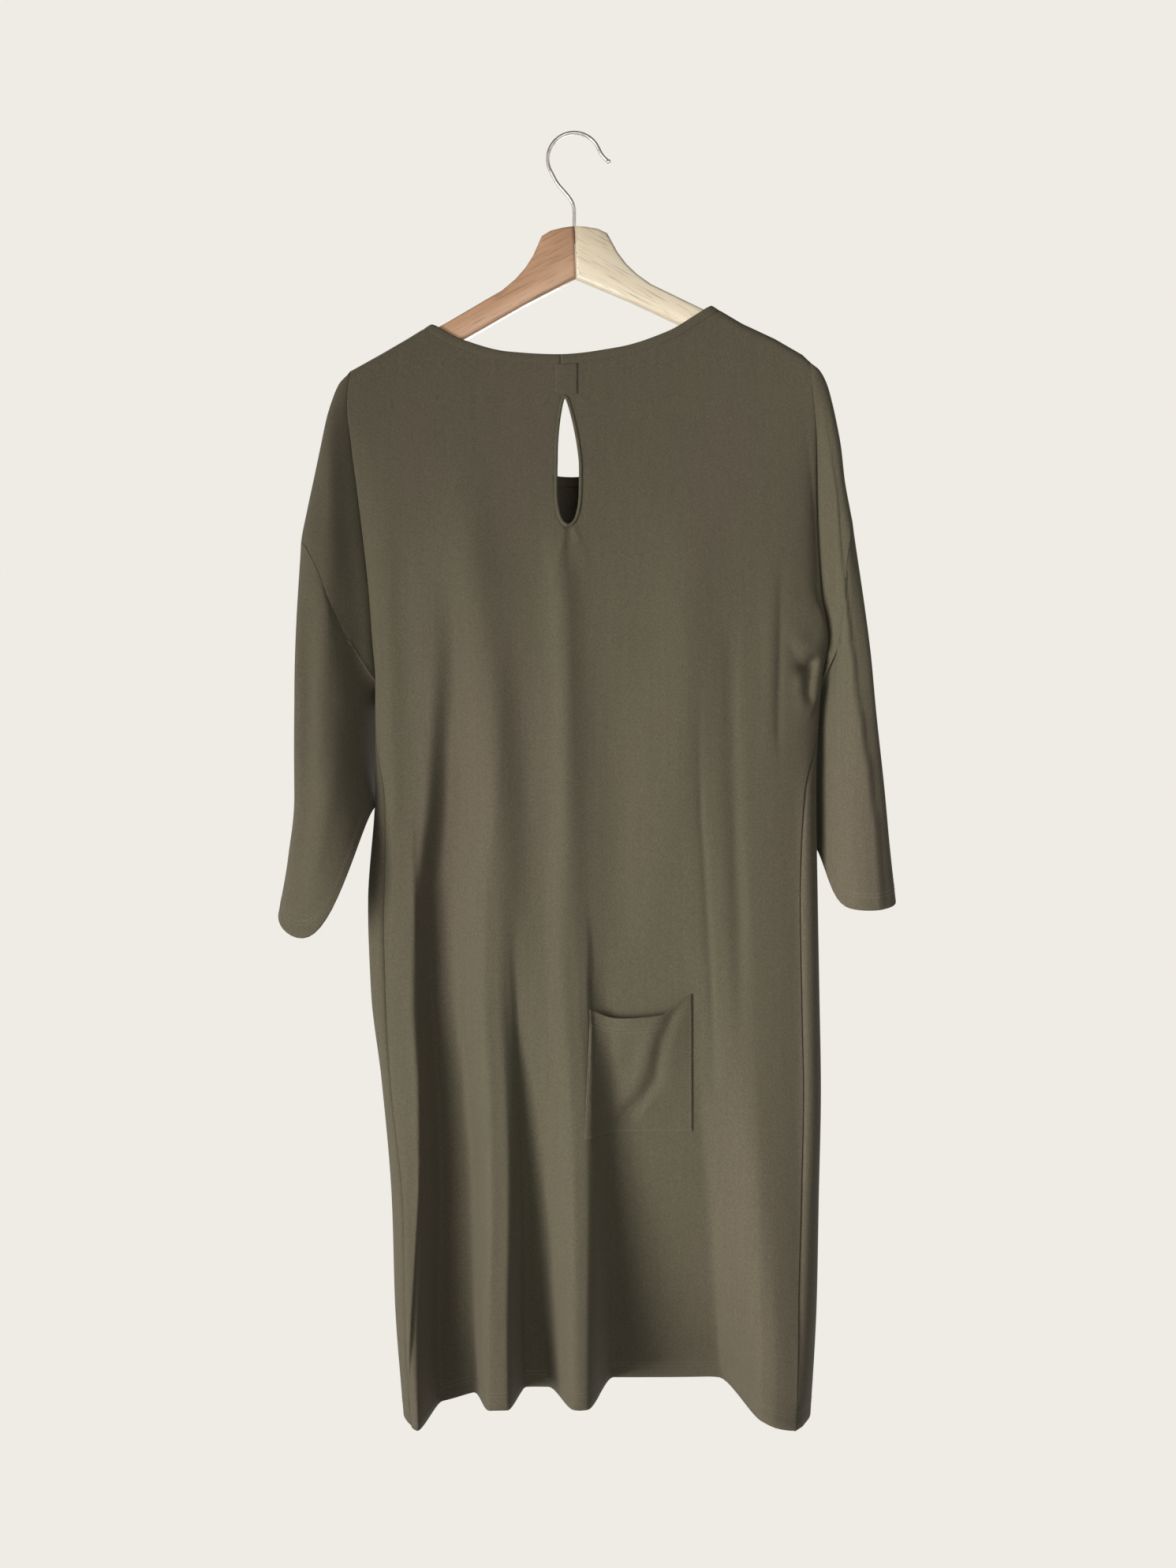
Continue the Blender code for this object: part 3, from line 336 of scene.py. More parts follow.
FRONT_CREASES = (
    Crease("ridge", 15, 4.0, (
        (6, -330, 0.3), (4, -420, 1), (8, -540, 1), (12, -690, 0.6), (16, -820, 0),
    )),
    Crease("ridge", 20, 5.0, ((-84, -300, 0), (-92, -420, 0.9), (-88, -560, 1), (-80, -720, 0.4))),
    Crease("ridge", 22, 4.5, ((112, -290, 0), (122, -410, 0.8), (118, -560, 1), (108, -740, 0.3))),
    Crease("ridge", 15, -4.0, ((-136, -330, 0), (-140, -450, 1), (-132, -600, 0.8), (-126, -700, 0))),
    Crease("ridge", 17, -3.5, ((62, -340, 0), (58, -470, 0.8), (56, -640, 1), (60, -760, 0.2))),
    Crease("crisp", 4, 1.6, (
        (-60, -322, 0), (-40, -333, 0.9), (-6, -340, 1), (30, -334, 0.7), (52, -322, 0),
    )),
    Crease("crisp", 5, 1.2, ((-66, -345, 0), (-34, -360, 0.8), (10, -364, 1), (48, -352, 0.3))),
    Crease("lap", 13, -2.0, ((150, -430, 0), (154, -560, 1), (158, -720, 0.9), (156, -860, 0))),
    Crease("lap", 12, 1.8, ((-104, -480, 0), (-108, -620, 1), (-104, -760, 0.7), (-100, -850, 0))),
    Crease("crisp", 5, -4.0, ((222, -470, 0.4), (206, -482, 1), (196, -500, 0.8), (190, -530, 0))),
    Crease("ridge", 7, 3.5, ((212, -452, 0.2), (198, -466, 1), (186, -488, 0.8), (182, -520, 0))),
    Crease("crisp", 5, -3.5, ((-178, -462, 0.4), (-162, -478, 1), (-154, -504, 0.7), (-150, -540, 0))),
    Crease("ridge", 8, 3.0, ((-168, -440, 0.2), (-152, -458, 1), (-142, -488, 0.7), (-138, -530, 0))),
    Crease("lap", 16, 3.5, ((-52, -800, 0), (-56, -900, 0.7), (-60, -1010, 1), (-62, -1130, 1))),
    Crease("lap", 18, 3.5, ((66, -780, 0), (70, -900, 0.8), (76, -1020, 1), (80, -1130, 1))),
    Crease("ridge", 10, 3.0, ((-250, -380, 0), (-236, -440, 0.8), (-232, -560, 1), (-238, -690, 0.6))),
    Crease("ridge", 10, 3.0, ((262, -390, 0), (258, -470, 0.8), (262, -580, 1), (268, -680, 0.6))),
)
POCKET_CREASES = (
    Crease("ridge", 6, -2.6, (
        (95, -784, 0.4), (87, -800, 1), (79, -819, 1), (75, -840, 1), (73, -855, 1), (61, -874, 1),
        (50, -883, 0.9), (43, -894, 0.5),
    )),
    Crease("ridge", 8, 2, (
        (69, -806, 0.3), (64, -834, 1), (55, -860, 1), (43, -875, 0.6), (35, -888, 0),
    )),
    Crease("crisp", 2.5, -1.6, ((39, -894, 0.5), (46, -892, 1), (55, -893, 0.3))),
    Crease("crisp", 3, 1.4, ((77, -869, 0.3), (66, -880, 1), (59, -891, 0.5))),
    Crease("ridge", 4, 1.2, ((17, -806, 0), (19, -847, 1), (20, -888, 1))),
)

# Wire of the hook: its centre line as (x, z) below the bend, the bend, and beyond it
WIRE = 3.3
HOOK_RADIUS = 24.2
HOOK_FOOT = (
    (0, -100), (0, -88), (0, -76), (0, -70.5), (-0.8, -65), (-3.4, -59.3), (-8.5, -52.8),
    (-15, -45.2),
)
HOOK_BEND = (212, 24)
HOOK_BEND_STEPS = 16
HOOK_TIP = ((24.4, -17.2), (27.0, -20.8), (30.0, -23.6))
BALL_RADIUS = 2.1
BALL_PLACE = (31.4, 0, -24.8)
WIRE_COLOUR = (0.56, 0.54, 0.51)

# Woods of the halves: node, slot, colour, dark of the grain, and side
WOODS = (
    ("hanger_left", "red_wood", (0.70, 0.42, 0.25), (0.50, 0.26, 0.14), -1),
    ("hanger_right", "pale_wood", (0.97, 0.86, 0.66), (0.84, 0.68, 0.46), 1),
)

# Stitching: rows above each hem, under the pocket's mouth and round its edge, and one stitch
HEM_ROWS = (11.5, 14.8)
MOUTH_ROWS = (10.0, 13.2)
POCKET_EDGE = 2.0
STITCH_PITCH = 2.9
STITCH_LENGTH = 2.1
STITCH_WIDTH = 0.62
STITCH_RISE = 0.34
STITCH_SINK = 0.1

# Knit: turns of the wave texture that make wales 1.1 mm apart, and what the green and the
# brown drifts of the yarn do to its colour
WALE_SCALE = 290.0
GREEN_DRIFT = (0.965, 1.0, 0.95)
BROWN_DRIFT = (1.03, 0.995, 1.02)

# Cut of each sheet in metres: its size, the cloth in it in square metres, what it rests on
HANGER = ["hanger_left", "hanger_right"]
SHEETS = {
    "cloth_back": ((0.56, 0.98), 0.42, HANGER),
    "cloth_front": ((0.60, 0.98), 0.47, HANGER),
    "cloth_sleeve_left": ((0.27, 0.33), 0.056, ["cloth_back"]),
    "cloth_sleeve_right": ((0.27, 0.33), 0.050, ["cloth_back"]),
    "cloth_pocket": ((0.10, 0.13), 0.011, ["cloth_back"]),
}
BAND_CUT = 0.0100

# Stage, in metres
CAMERA_PLACE = (0.0126, -1.4, -0.593)
FLOOR_Z = -1.9
ROOM_REACH = 2.7
ROOM_BEND = 0.9
ROOM_HEIGHT = 3.6
ROOM_BEND_STEPS = 16
ROOM_SIDES = 96
LAMP_COLOUR = (1.0, 0.985, 0.96)
SKY_COLOUR = (0.90, 0.88, 0.84, 1)
SKY_STRENGTH = 0.14
# Lamps: place, aim, size, and spread in degrees. Their powers are settings.
LAMPS = {
    "key": ((-1.35, -1.5, -1.0), (0.85, 0, -0.72), 1.3, 54),
    "fill": ((0.5, -2.4, -0.4), (0, 0, -0.6), 1.2, 180),
    "rear": ((0.6, 2.3, -0.7), (0, 0, -0.6), 1.2, 90),
}


def smooth(t):
    """Smooth step from 0 to 1."""
    t = np.clip(t, 0.0, 1.0)
    return t * t * (3 - 2 * t)


def read(table, column, at, key="z"):
    """A column of a table at any heights, with a smooth curve through its rows."""
    knots = np.array(table[key], dtype=float)
    values = np.array(table[column], dtype=float)
    at = np.asarray(at, dtype=float)
    if knots[0] > knots[-1]:
        knots, at = -knots, -at
    at = np.clip(at, knots[0], knots[-1])
    i = np.clip(np.searchsorted(knots, at, side="right") - 1, 0, len(knots) - 2)
    step = np.diff(knots)
    rise = np.diff(values) / step
    before, after = rise[:-1], rise[1:]
    total = np.where(before + after == 0, 1.0, before + after)
    inner = np.where(before * after > 0, 2 * before * after / total, 0.0)
    start = np.concatenate([rise[:1], inner])[i]
    end = np.concatenate([inner, rise[-1:]])[i]
    t = (at - knots[i]) / step[i]
    bend = t * (1 - t) * step[i]
    line = values[i] + (values[i + 1] - values[i]) * t
    return line + bend * ((start - rise[i]) * (1 - t) - (end - rise[i]) * t)


def shoulder_z(x):
    """Height of the shoulder line, carried on over the neck opening."""
    return np.interp(x, SHOULDER["x"], SHOULDER["z"])


def neck_pair(neck):
    """A neckline's free edge and the seam under its band, as arrays of (x, z)."""
    fine = np.linspace(neck["x"][0], neck["x"][-1], 3 * NECK_POINTS)
    line = np.stack([fine, read(neck, "z", fine, "x")], axis=1)
    run = np.concatenate([[0], np.cumsum(np.linalg.norm(np.diff(line, axis=0), axis=1))])
    even = np.linspace(0, run[-1], NECK_POINTS)
    edge = np.stack([np.interp(even, run, line[:, i]) for i in (0, 1)], axis=1)
    along = np.gradient(edge, axis=0)
    along /= np.linalg.norm(along, axis=1)[:, None]
    away = np.stack([along[:, 1], -along[:, 0]], axis=1)
    at = np.linspace(0, 1, len(edge))[:, None]
    for end, along_end in zip(NECK_END_TURNS, (at, 1 - at)):
        turn = np.clip(1 - along_end / NECK_END_SHARE, 0, 1) ** 2
        away = away * (1 - turn) + np.array(end) * turn
    away /= np.linalg.norm(away, axis=1)[:, None]
    seam = edge + away * BAND_WIDTH
    seam[0, 1] = shoulder_z(seam[0, 0])
    seam[-1, 1] = shoulder_z(seam[-1, 0])
    return edge, seam


NECKS = {False: neck_pair(BACK_NECK), True: neck_pair(FRONT_NECK)}
NECK_LEFT_X = float(NECKS[False][1][0, 0])
NECK_RIGHT_X = float(NECKS[False][1][-1, 0])


def top_z(x, front):
    """Height of a panel's upper edge: its shoulder, or the seam of its neckband."""
    seam = NECKS[front][1]
    in_neck = (x > NECK_LEFT_X) & (x < NECK_RIGHT_X)
    return np.where(in_neck, np.interp(x, seam[:, 0], seam[:, 1]), shoulder_z(x))


def fold_depth(folds, across, z, half_width):
    """Depth of the long folds at places on the body, positive inwards."""
    total = np.zeros(np.broadcast(across, z).shape)
    for i, start in enumerate(folds["start_z"]):
        down = (start - z) / (start - HEM_Z)
        near = folds["top_from"][i] + (folds["hem_from"][i] - folds["top_from"][i]) * down
        far = folds["top_to"][i] + (folds["hem_to"][i] - folds["top_to"][i]) * down
        steep, gentle = FOLD_SPREAD[folds is BACK_FOLDS]
        steep = 2 + 2 * steep * np.maximum(1 - down, 0)
        gentle = 2 + 2 * gentle * np.maximum(1 - down, 0)
        rise = smooth((across - near) * half_width / folds["wall_from"][i] / steep + 0.5)
        fall = smooth((far - across) * half_width / folds["wall_to"][i] / gentle + 0.5)
        grown = np.clip(down, 0, 1.03) ** folds["growth"][i]
        total += folds["depth"][i] * grown * rise * fall
    return total * smooth((1 - np.abs(across)) / 0.1)


def round_over(below):
    """0 on a shoulder seam and 1 once the cloth has rounded over the hanger."""
    left = np.clip(1 - below / SHOULDER_ROUND, 0.0, 1.0)
    return np.sqrt(1 - left * left)


def level_turn(across, power):
    """Turn in degrees at which a section is as far across as wanted."""
    depth = (1 - np.abs(across) ** power) ** (1 / power)
    return np.degrees(np.arctan2(np.abs(across), depth))


def body_point(turn, z, front):
    """Points of the body's section at heights. Turn 0 faces the back's middle, 90 the right
    side and 180 the front's middle; negative turns go round by the left."""
    left = read(BODY, "left_x", z)
    right = read(BODY, "right_x", z)
    power = read(BODY, "power", z)
    s = np.sin(np.radians(turn))
    c = np.cos(np.radians(turn))
    reach = (np.abs(s) ** power + np.abs(c) ** power) ** (-1 / power)
    across = s * reach
    half = (right - left) / 2
    on_front = (c < -1e-9) | (front & (np.abs(c) < 1e-9))
    edge = np.where(on_front, read(BODY, "front_edge", z), read(BODY, "back_edge", z))
    level = np.where(on_front, read(BODY, "front_level", z), read(BODY, "back_level", z))
    front_fold = fold_depth(FRONT_FOLDS, across, z, half)
    inward = np.where(on_front, -front_fold, fold_depth(BACK_FOLDS, across, z, half))
    y = edge + (level - edge) * np.abs(c) * reach + inward
    x = (left + right) / 2 + half * across
    return np.stack([x, y * round_over(shoulder_z(x) - z), z + 0 * x], axis=-1)


def surface_y(x, z, front):
    """The outer surface of the back or the front over places, as y."""
    left = read(BODY, "left_x", z)
    right = read(BODY, "right_x", z)
    across = np.clip((2 * x - left - right) / (right - left), -1.0, 1.0)
    turn = np.copysign(level_turn(across, read(BODY, "power", z)), across)
    return body_point(180 - turn if front else turn, z, front)[..., 1]


def column_turn(share, z, front):
    """Turn of a column at a height: columns run straight down the level part of a panel
    and bunch round its sides up to the side seam."""
    power = read(BODY, "power", z)
    seam = np.where(share < 0, read(BODY, "left_seam", z), read(BODY, "right_seam", z))
    level = level_turn(LEVEL_ACROSS, power)
    across = LEVEL_ACROSS * np.minimum(np.abs(share) / LEVEL_SHARE, 1.0)
    last = 180 - seam if front else seam
    outer = level + (last - level) * (np.abs(share) - LEVEL_SHARE) / (1 - LEVEL_SHARE)
    turn = np.where(np.abs(share) <= LEVEL_SHARE, level_turn(across, power), outer)
    turn = np.copysign(turn, share)
    return 180 - turn if front else turn


def body_grid(shares, downs, front):
    """Points of a panel's body. Down runs from 0 at the neck and shoulders to 1 at the lower
    ends of the armholes and 2 at the hem."""
    share, down = np.meshgrid(shares, downs)
    left_top, left_under = LEFT_ARM["z"][0], LEFT_SEAM["z"][0]
    right_top, right_under = RIGHT_ARM["z"][0], RIGHT_SEAM["z"][0]
    side_hem = HEM_Z - SIDE_DROOP
    low = np.maximum(down - 1, 0.0)
    high = np.minimum(down, 1.0)
    at_left = left_top + (left_under - left_top) * high + (side_hem - left_under) * low
    at_right = right_top + (right_under - right_top) * high + (side_hem - right_under) * low
    fade = np.maximum(1 - down, 0.0) ** 1.25
    z = (at_left + at_right) / 2
    for _ in range(8):
        x = body_point(column_turn(share, z, front), z, front)[..., 0]
        left, right = read(BODY, "left_x", z), read(BODY, "right_x", z)
        over = (x - left) / (right - left)
        rise = top_z(x, front) - left_top - (right_top - left_top) * over
        level = SIDE_DROOP * low * (1 - smooth((np.abs(2 * over - 1) - 0.5) / 0.45))
        z = at_left + (at_right - at_left) * over + rise * fade + level
    z = np.where(share <= -1, at_left, np.where(share >= 1, at_right, z))
    return body_point(column_turn(share, z, front), z, front)


def column_at(x):
    """Share of the column that meets the panel's top edge at a given x."""
    low, high = -0.999, 0.999
    for _ in range(34):
        middle = (low + high) / 2
        if body_grid(np.array([middle]), np.array([0.0]), False)[0, 0, 0] < x:
            low = middle
        else:
            high = middle
    return (low + high) / 2


def column_shares():
    """Places of the columns, with a few set exactly at the ends of the neckbands."""
    even = np.linspace(-1, 1, COLUMNS + 1)
    fixed = [BAND_SPLIT_X]
    fixed += [NECK_LEFT_X + away for away in BAND_END_COLUMNS]
    fixed += [NECK_RIGHT_X - away for away in BAND_END_COLUMNS]
    fixed = [column_at(x) for x in fixed]
    kept = [s for s in even if abs(s) == 1 or min(abs(s - f) for f in fixed) > COLUMN_GAP]
    return np.array(sorted(kept + fixed))


SHARES = column_shares()


def nearest_share(x):
    """The column that was placed at a given x of the top edge."""
    return float(SHARES[int(np.argmin(np.abs(SHARES - column_at(x))))])


def arm_point(step, down, side, front):
    """Points of an upper arm: step 0 in the fold beside the body, 1 on the outer fold; down 0
    at the hanger's end and 1 on the armhole seam."""
    arm = LEFT_ARM if side < 0 else RIGHT_ARM
    seam = LEFT_SEAM if side < 0 else RIGHT_SEAM
    top = arm["z"][0] - 8 * step
    z = top + (read(seam, "z", step, "across") - top) * down
    inner_x = read(BODY, "left_x" if side < 0 else "right_x", z)
    inner_y = read(BODY, "front_edge" if front else "back_edge", z)
    outer_x = read(arm, "outer_x", z)
    bulge = read(arm, "bulge", z) * np.maximum(np.sin(math.pi * step), 0.0) ** 0.7
    x = inner_x + (outer_x - inner_x) * np.sin(math.pi / 2 * step ** 0.85)
    y = inner_y * (1 - step) + (bulge if front else -bulge)
    return np.stack([x, y * round_over(top - z), z + 0 * x], axis=-1)


def sleeve_part(steps, downs, side, front):
    """Near or far half of a sleeve, from the armhole seam to the cuff."""
    table = LEFT_SLEEVE if side < 0 else RIGHT_SLEEVE
    keyed = dict(table, share=np.linspace(0, 1, len(table["outer_z"])))
    step, down = np.meshgrid(steps, downs)
    here = {name: read(keyed, name, down, "share") for name in table}
    turn = math.pi * (1 - step)
    inward = (1 - np.cos(turn)) / 2
    high = np.maximum(np.sin(turn), 0.0)
    y = (here["far_y"] if front else here["near_y"]) * high ** 0.8
    x = here["outer_x"] + (here["inner_x"] - here["outer_x"]) * inward + here["lean"] * y
    z = here["outer_z"] + (here["inner_z"] - here["outer_z"]) * inward
    if not front:
        size, rise, fall = DROP_SHAPE[side]
        z = z - here["near_drop"] * size * inward ** rise * (1 - inward ** fall)
        near_crease = ((step - SLEEVE_CREASE_AT) / SLEEVE_CREASE_WIDTH) ** 2
        crease = np.exp(-near_crease) * SLEEVE_CREASE * smooth(down * 3)
        x = x + side * crease * 0.6
        y = y - crease
    tuck = (1 - step) ** 7 * smooth(down / TUCK_LENGTH)
    x = x - side * SLEEVE_TUCK[side][0] * tuck
    y = y + SLEEVE_TUCK[side][1] * tuck
    start = arm_point(step, 1.0, side, front)
    arm = LEFT_ARM if side < 0 else RIGHT_ARM
    fold = (1 - step) ** 6 * np.minimum(down / SEAM_TUCK_LENGTH, 1) ** 0.6
    start_x = start[..., 0] - side * SEAM_TUCK[0] * fold
    start_y = start[..., 1] + SEAM_TUCK[1] * fold
    drop = SLEEVE_START_DROP * down
    start_z = start[..., 2] - drop
    widen = read(arm, "outer_x", start_z) - read(arm, "outer_x", start_z + drop)
    start_x = start_x + widen * step
    start = np.stack([start_x, start_y, start_z], axis=-1)
    mix = smooth(down / SLEEVE_BLEND)[..., None]
    return start + (np.stack([x, y, z], axis=-1) - start) * mix


def crease_lift(crease, x, z):
    """How far one crease lifts each place, from its distance to the crease's path."""
    path = np.array(crease.path, dtype=float)
    best = np.full(x.shape, 1e9)
    side = np.zeros(x.shape)
    strength = np.zeros(x.shape)
    for (ax, az, a_force), (bx, bz, b_force) in zip(path, path[1:]):
        dx, dz = bx - ax, bz - az
        t = np.clip(((x - ax) * dx + (z - az) * dz) / (dx * dx + dz * dz), 0, 1)
        away = np.hypot(x - ax - t * dx, z - az - t * dz)
        nearer = away < best
        best = np.where(nearer, away, best)
        side = np.where(nearer, (x - ax) * dz - (z - az) * dx, side)
        strength = np.where(nearer, a_force + (b_force - a_force) * t, strength)
    if crease.kind == "ridge":
        shape = np.exp(-((best / crease.width) ** 2))
    elif crease.kind == "crisp":
        shape = np.exp(-best / crease.width)
    else:
        shape = np.exp(-best / crease.width) * smooth(np.copysign(best, side) / 2.4 + 0.5)
    return crease.depth * strength * shape


def creased(points, face, creases):
    """Points with the creases added, pushed along -Y as far as each faces the viewer."""
    x, z = points[..., 0], points[..., 2]
    lift = np.zeros(x.shape)
    for crease in creases:
        lift += crease_lift(crease, x, z)
    moved = points.copy()
    moved[..., 1] -= lift * face
    return moved


def body_facing(shares, downs, front):
    """1 on the near side of the body, -1 on the far side and 0 in the folds at its sides."""
    share = np.meshgrid(shares, downs)[0]
    z = body_grid(shares, downs, front)[..., 2]
    c = np.cos(np.radians(column_turn(share, z, front)))
    return np.sign(c) * np.abs(c) ** 0.5


def trim_top(obj, grids):
    """Keeps the inner wall of a panel under its own shoulders."""
    line = np.concatenate([grid[0] for grid in grids])
    line = line[np.argsort(line[:, 0])]
    for vertex in obj.data.vertices:
        if vertex.co.z > TRIM_Z * MM:
            top = MM * np.interp(vertex.co.x / MM, line[:, 0], line[:, 2])
            vertex.co.z = min(vertex.co.z, top)


def dress_panel(front):
    """A panel's grids with its creases: the body, and an upper arm on each side."""
    downs = np.concatenate([UPPER_ROWS, LOWER_ROWS])
    body = body_grid(SHARES, downs, front)
    facing = body_facing(SHARES, downs, front)
    near = creased(body, np.maximum(facing, 0), BACK_CREASES)
    body = creased(near, np.minimum(facing, 0), FRONT_CREASES)
    sunk = slice(len(UPPER_ROWS), None)
    body[sunk, 0, :2] += (SIDE_SEAM_SINK, SIDE_SEAM_SINK)
    body[sunk, -1, :2] += (-SIDE_SEAM_SINK, SIDE_SEAM_SINK)
    grids = [body]
    creases = FRONT_CREASES if front else BACK_CREASES
    for side in (-1, 1):
        steps = ARM_STEPS if side > 0 else ARM_STEPS[::-1]
        step, down = np.meshgrid(steps, UPPER_ROWS)
        arm = arm_point(step, down, side, front)
        face = np.sin(math.pi * step) ** 0.5 * (-1 if front else 1)
        arm = creased(arm, face, creases)
        arm[-1, :, 1] *= SEAM_SINK
        rows = len(UPPER_ROWS)
        if side < 0:
            arm[:, -1] = body[:rows, 0]
        else:
            arm[:, 0] = body[:rows, -1]
        grids.append(arm)
    return grids


def sleeve_grid(side):
    """A sleeve tube's grid with its creases, closed round."""
    near = sleeve_part(ARM_STEPS[::-1], SLEEVE_ROWS, side, False)
    far = sleeve_part(ARM_STEPS, SLEEVE_ROWS, side, True)
    step = np.meshgrid(ARM_STEPS, SLEEVE_ROWS)[0]
    facing = np.maximum(np.sin(math.pi * step), 0) ** 0.5
    near = creased(near, facing[:, ::-1], BACK_CREASES)
    far = creased(far, -facing, FRONT_CREASES)
    near[0, :, 1] *= SEAM_SINK
    far[0, :, 1] *= SEAM_SINK
    return np.concatenate([near, far[:, 1:]], axis=1)


def put_object(name, data):
    """A new object with its data, in the scene."""
    obj = bpy.data.objects.new(name, data)
    bpy.context.scene.collection.objects.link(obj)
    return obj


def mesh_of(name, shape):
    """A mesh from a bmesh, which is freed."""
    mesh = bpy.data.meshes.new(name)
    shape.to_mesh(mesh)
    shape.free()
    return mesh


def only_select(obj):
    """Makes an object the active one and the only one selected."""
    bpy.ops.object.select_all(action="DESELECT")
    bpy.context.view_layer.objects.active = obj
    obj.select_set(True)


def grid_object(name, grids, flip, wall=CLOTH, hole=None):
    """One cloth object from grids of points, with a UV map in metres along the cloth, joined
    where the grids meet, its faces out and a wall inwards."""
    shape = bmesh.new()
    layer = shape.loops.layers.uv.new("UVMap")
    for grid in grids:
        rows, columns = grid.shape[:2]
        across = np.linalg.norm(np.diff(grid, axis=1), axis=2)
        u = np.concatenate([np.zeros((rows, 1)), np.cumsum(across, axis=1)], axis=1)
        u -= u[:, columns // 2][:, None]
        drop = np.linalg.norm(np.diff(grid, axis=0), axis=2)
        v = np.concatenate([np.zeros((1, columns)), np.cumsum(drop, axis=0)], axis=0)
        verts = [[shape.verts.new(point) for point in row] for row in grid * MM]
        for i in range(rows - 1):
            for j in range(columns - 1):
                cells = ((i, j), (i + 1, j), (i + 1, j + 1), (i, j + 1))
                if flip:
                    cells = cells[::-1]
                face = shape.faces.new([verts[a][b] for a, b in cells])
                face.smooth = True
                for loop, (a, b) in zip(face.loops, cells):
                    loop[layer].uv = (u[a, b] * MM, -v[a, b] * MM)
    bmesh.ops.remove_doubles(shape, verts=shape.verts, dist=2e-5)
    bmesh.ops.dissolve_degenerate(shape, edges=shape.edges, dist=1e-6)
    if hole:
        hole(shape)
    obj = put_object(name, mesh_of(name, shape))
    solid = obj.modifiers.new("Wall", "SOLIDIFY")
    solid.thickness = wall * MM
    solid.offset = -1.0
    only_select(obj)
    bpy.ops.object.modifier_apply(modifier=solid.name)
    obj.select_set(False)
    return obj


def keyhole_outline(grow, count=120):
    """Points (x, z) round the keyhole, moved out by grow; a pointed top and a round foot."""
    turn = 2 * math.pi * np.arange(count) / count
    t = (1 - np.cos(turn)) / 2
    upper = np.sin(math.pi / 2 * np.minimum(t / KEYHOLE_WIDEST, 1)) ** 0.75
    below = np.maximum(t - KEYHOLE_WIDEST, 0) / (1 - KEYHOLE_WIDEST)
    width = np.where(t < KEYHOLE_WIDEST, upper, np.sqrt(np.maximum(1 - below ** 3.4, 0)))
    side = np.where(turn <= math.pi, 1, -1)
    middle = KEYHOLE_X + KEYHOLE_TIP_SHIFT * (1 - np.minimum(t / 0.5, 1))
    outline = np.stack(
        [middle + side * width * KEYHOLE_HALF_WIDTH, KEYHOLE_TIP_Z - t * KEYHOLE_HEIGHT], axis=1
    )
    along = np.roll(outline, -1, axis=0) - np.roll(outline, 1, axis=0)
    along /= np.linalg.norm(along, axis=1)[:, None]
    return outline + np.stack([-along[:, 1], along[:, 0]], axis=1) * grow


def inside(outline, x, z):
    """Whether a place lies inside a closed outline."""
    found = False
    for (ax, az), (bx, bz) in zip(outline, np.roll(outline, -1, axis=0)):
        if (az > z) != (bz > z) and x < ax + (bx - ax) * (z - az) / (bz - az):
            found = not found
    return found


def open_keyhole(shape):
    """Takes the slit out of the back's faces and draws their edge to its outline."""
    outline = keyhole_outline(BINDING_WIDTH * 0.6)
    low, high = outline.min(axis=0), outline.max(axis=0)
    gone = []
    for face in shape.faces:
        c = face.calc_center_median() / MM
        if low[0] <= c.x <= high[0] and low[1] <= c.z <= high[1] and inside(outline, c.x, c.z):
            gone.append(face)
    bmesh.ops.delete(shape, geom=gone, context="FACES")
    for vertex in shape.verts:
        x, z = vertex.co.x / MM, vertex.co.z / MM
        near = low[0] - 4 < x < high[0] + 4 and low[1] - 4 < z < high[1] + 4
        if near and vertex.is_boundary:
            away = outline - (x, z)
            i = int(np.argmin((away ** 2).sum(axis=1)))
            vertex.co.x, vertex.co.z = outline[i][0] * MM, outline[i][1] * MM


def tree_of(obj):
    """A search tree of an object's faces."""
    mesh = obj.data
    return BVHTree.FromPolygons([v.co for v in mesh.vertices], [p.vertices for p in mesh.polygons])


def near_y(tree, x, z, reach=0.0):
    """The nearest that a piece stands to the viewer around a place."""
    best = 1e3
    steps = (-reach, 0, reach) if reach else (0,)
    for dx in steps:
        for dz in steps:
            start = Vector((x + dx, -400, z + dz)) * MM
            place = tree.ray_cast(start, Vector((0, 1, 0)))[0]
            if place:
                best = min(best, place.y / MM)
    return best


def pocket_grid(tree):
    """The patch pocket on the back's own points moved out, gaping at its mouth."""
    top = np.array([POCKET_TOP_LEFT, POCKET_TOP_RIGHT])
    low = np.array([POCKET_LOW_LEFT, POCKET_LOW_RIGHT])
    grid = np.zeros((len(POCKET_ROWS), len(POCKET_COLUMNS), 3))
    for j, across in enumerate(POCKET_COLUMNS):
        upper = top[0] + (top[1] - top[0]) * across
        lower = low[0] + (low[1] - low[0]) * across
        upper = upper - np.array([0, float(read(POCKET_MOUTH, "sag", across, "across"))])
        for i, down in enumerate(POCKET_ROWS):
            x, z = upper + (lower - upper) * down
            free = max(math.sin(math.pi * across), 0.0) ** 0.8 * (1 - down) ** 1.6
            y = near_y(tree, x, z, POCKET_REACH) - POCKET_WALL - POCKET_LIFT - POCKET_GAPE * free
            grid[i, j] = (x, y, z)
    return grid


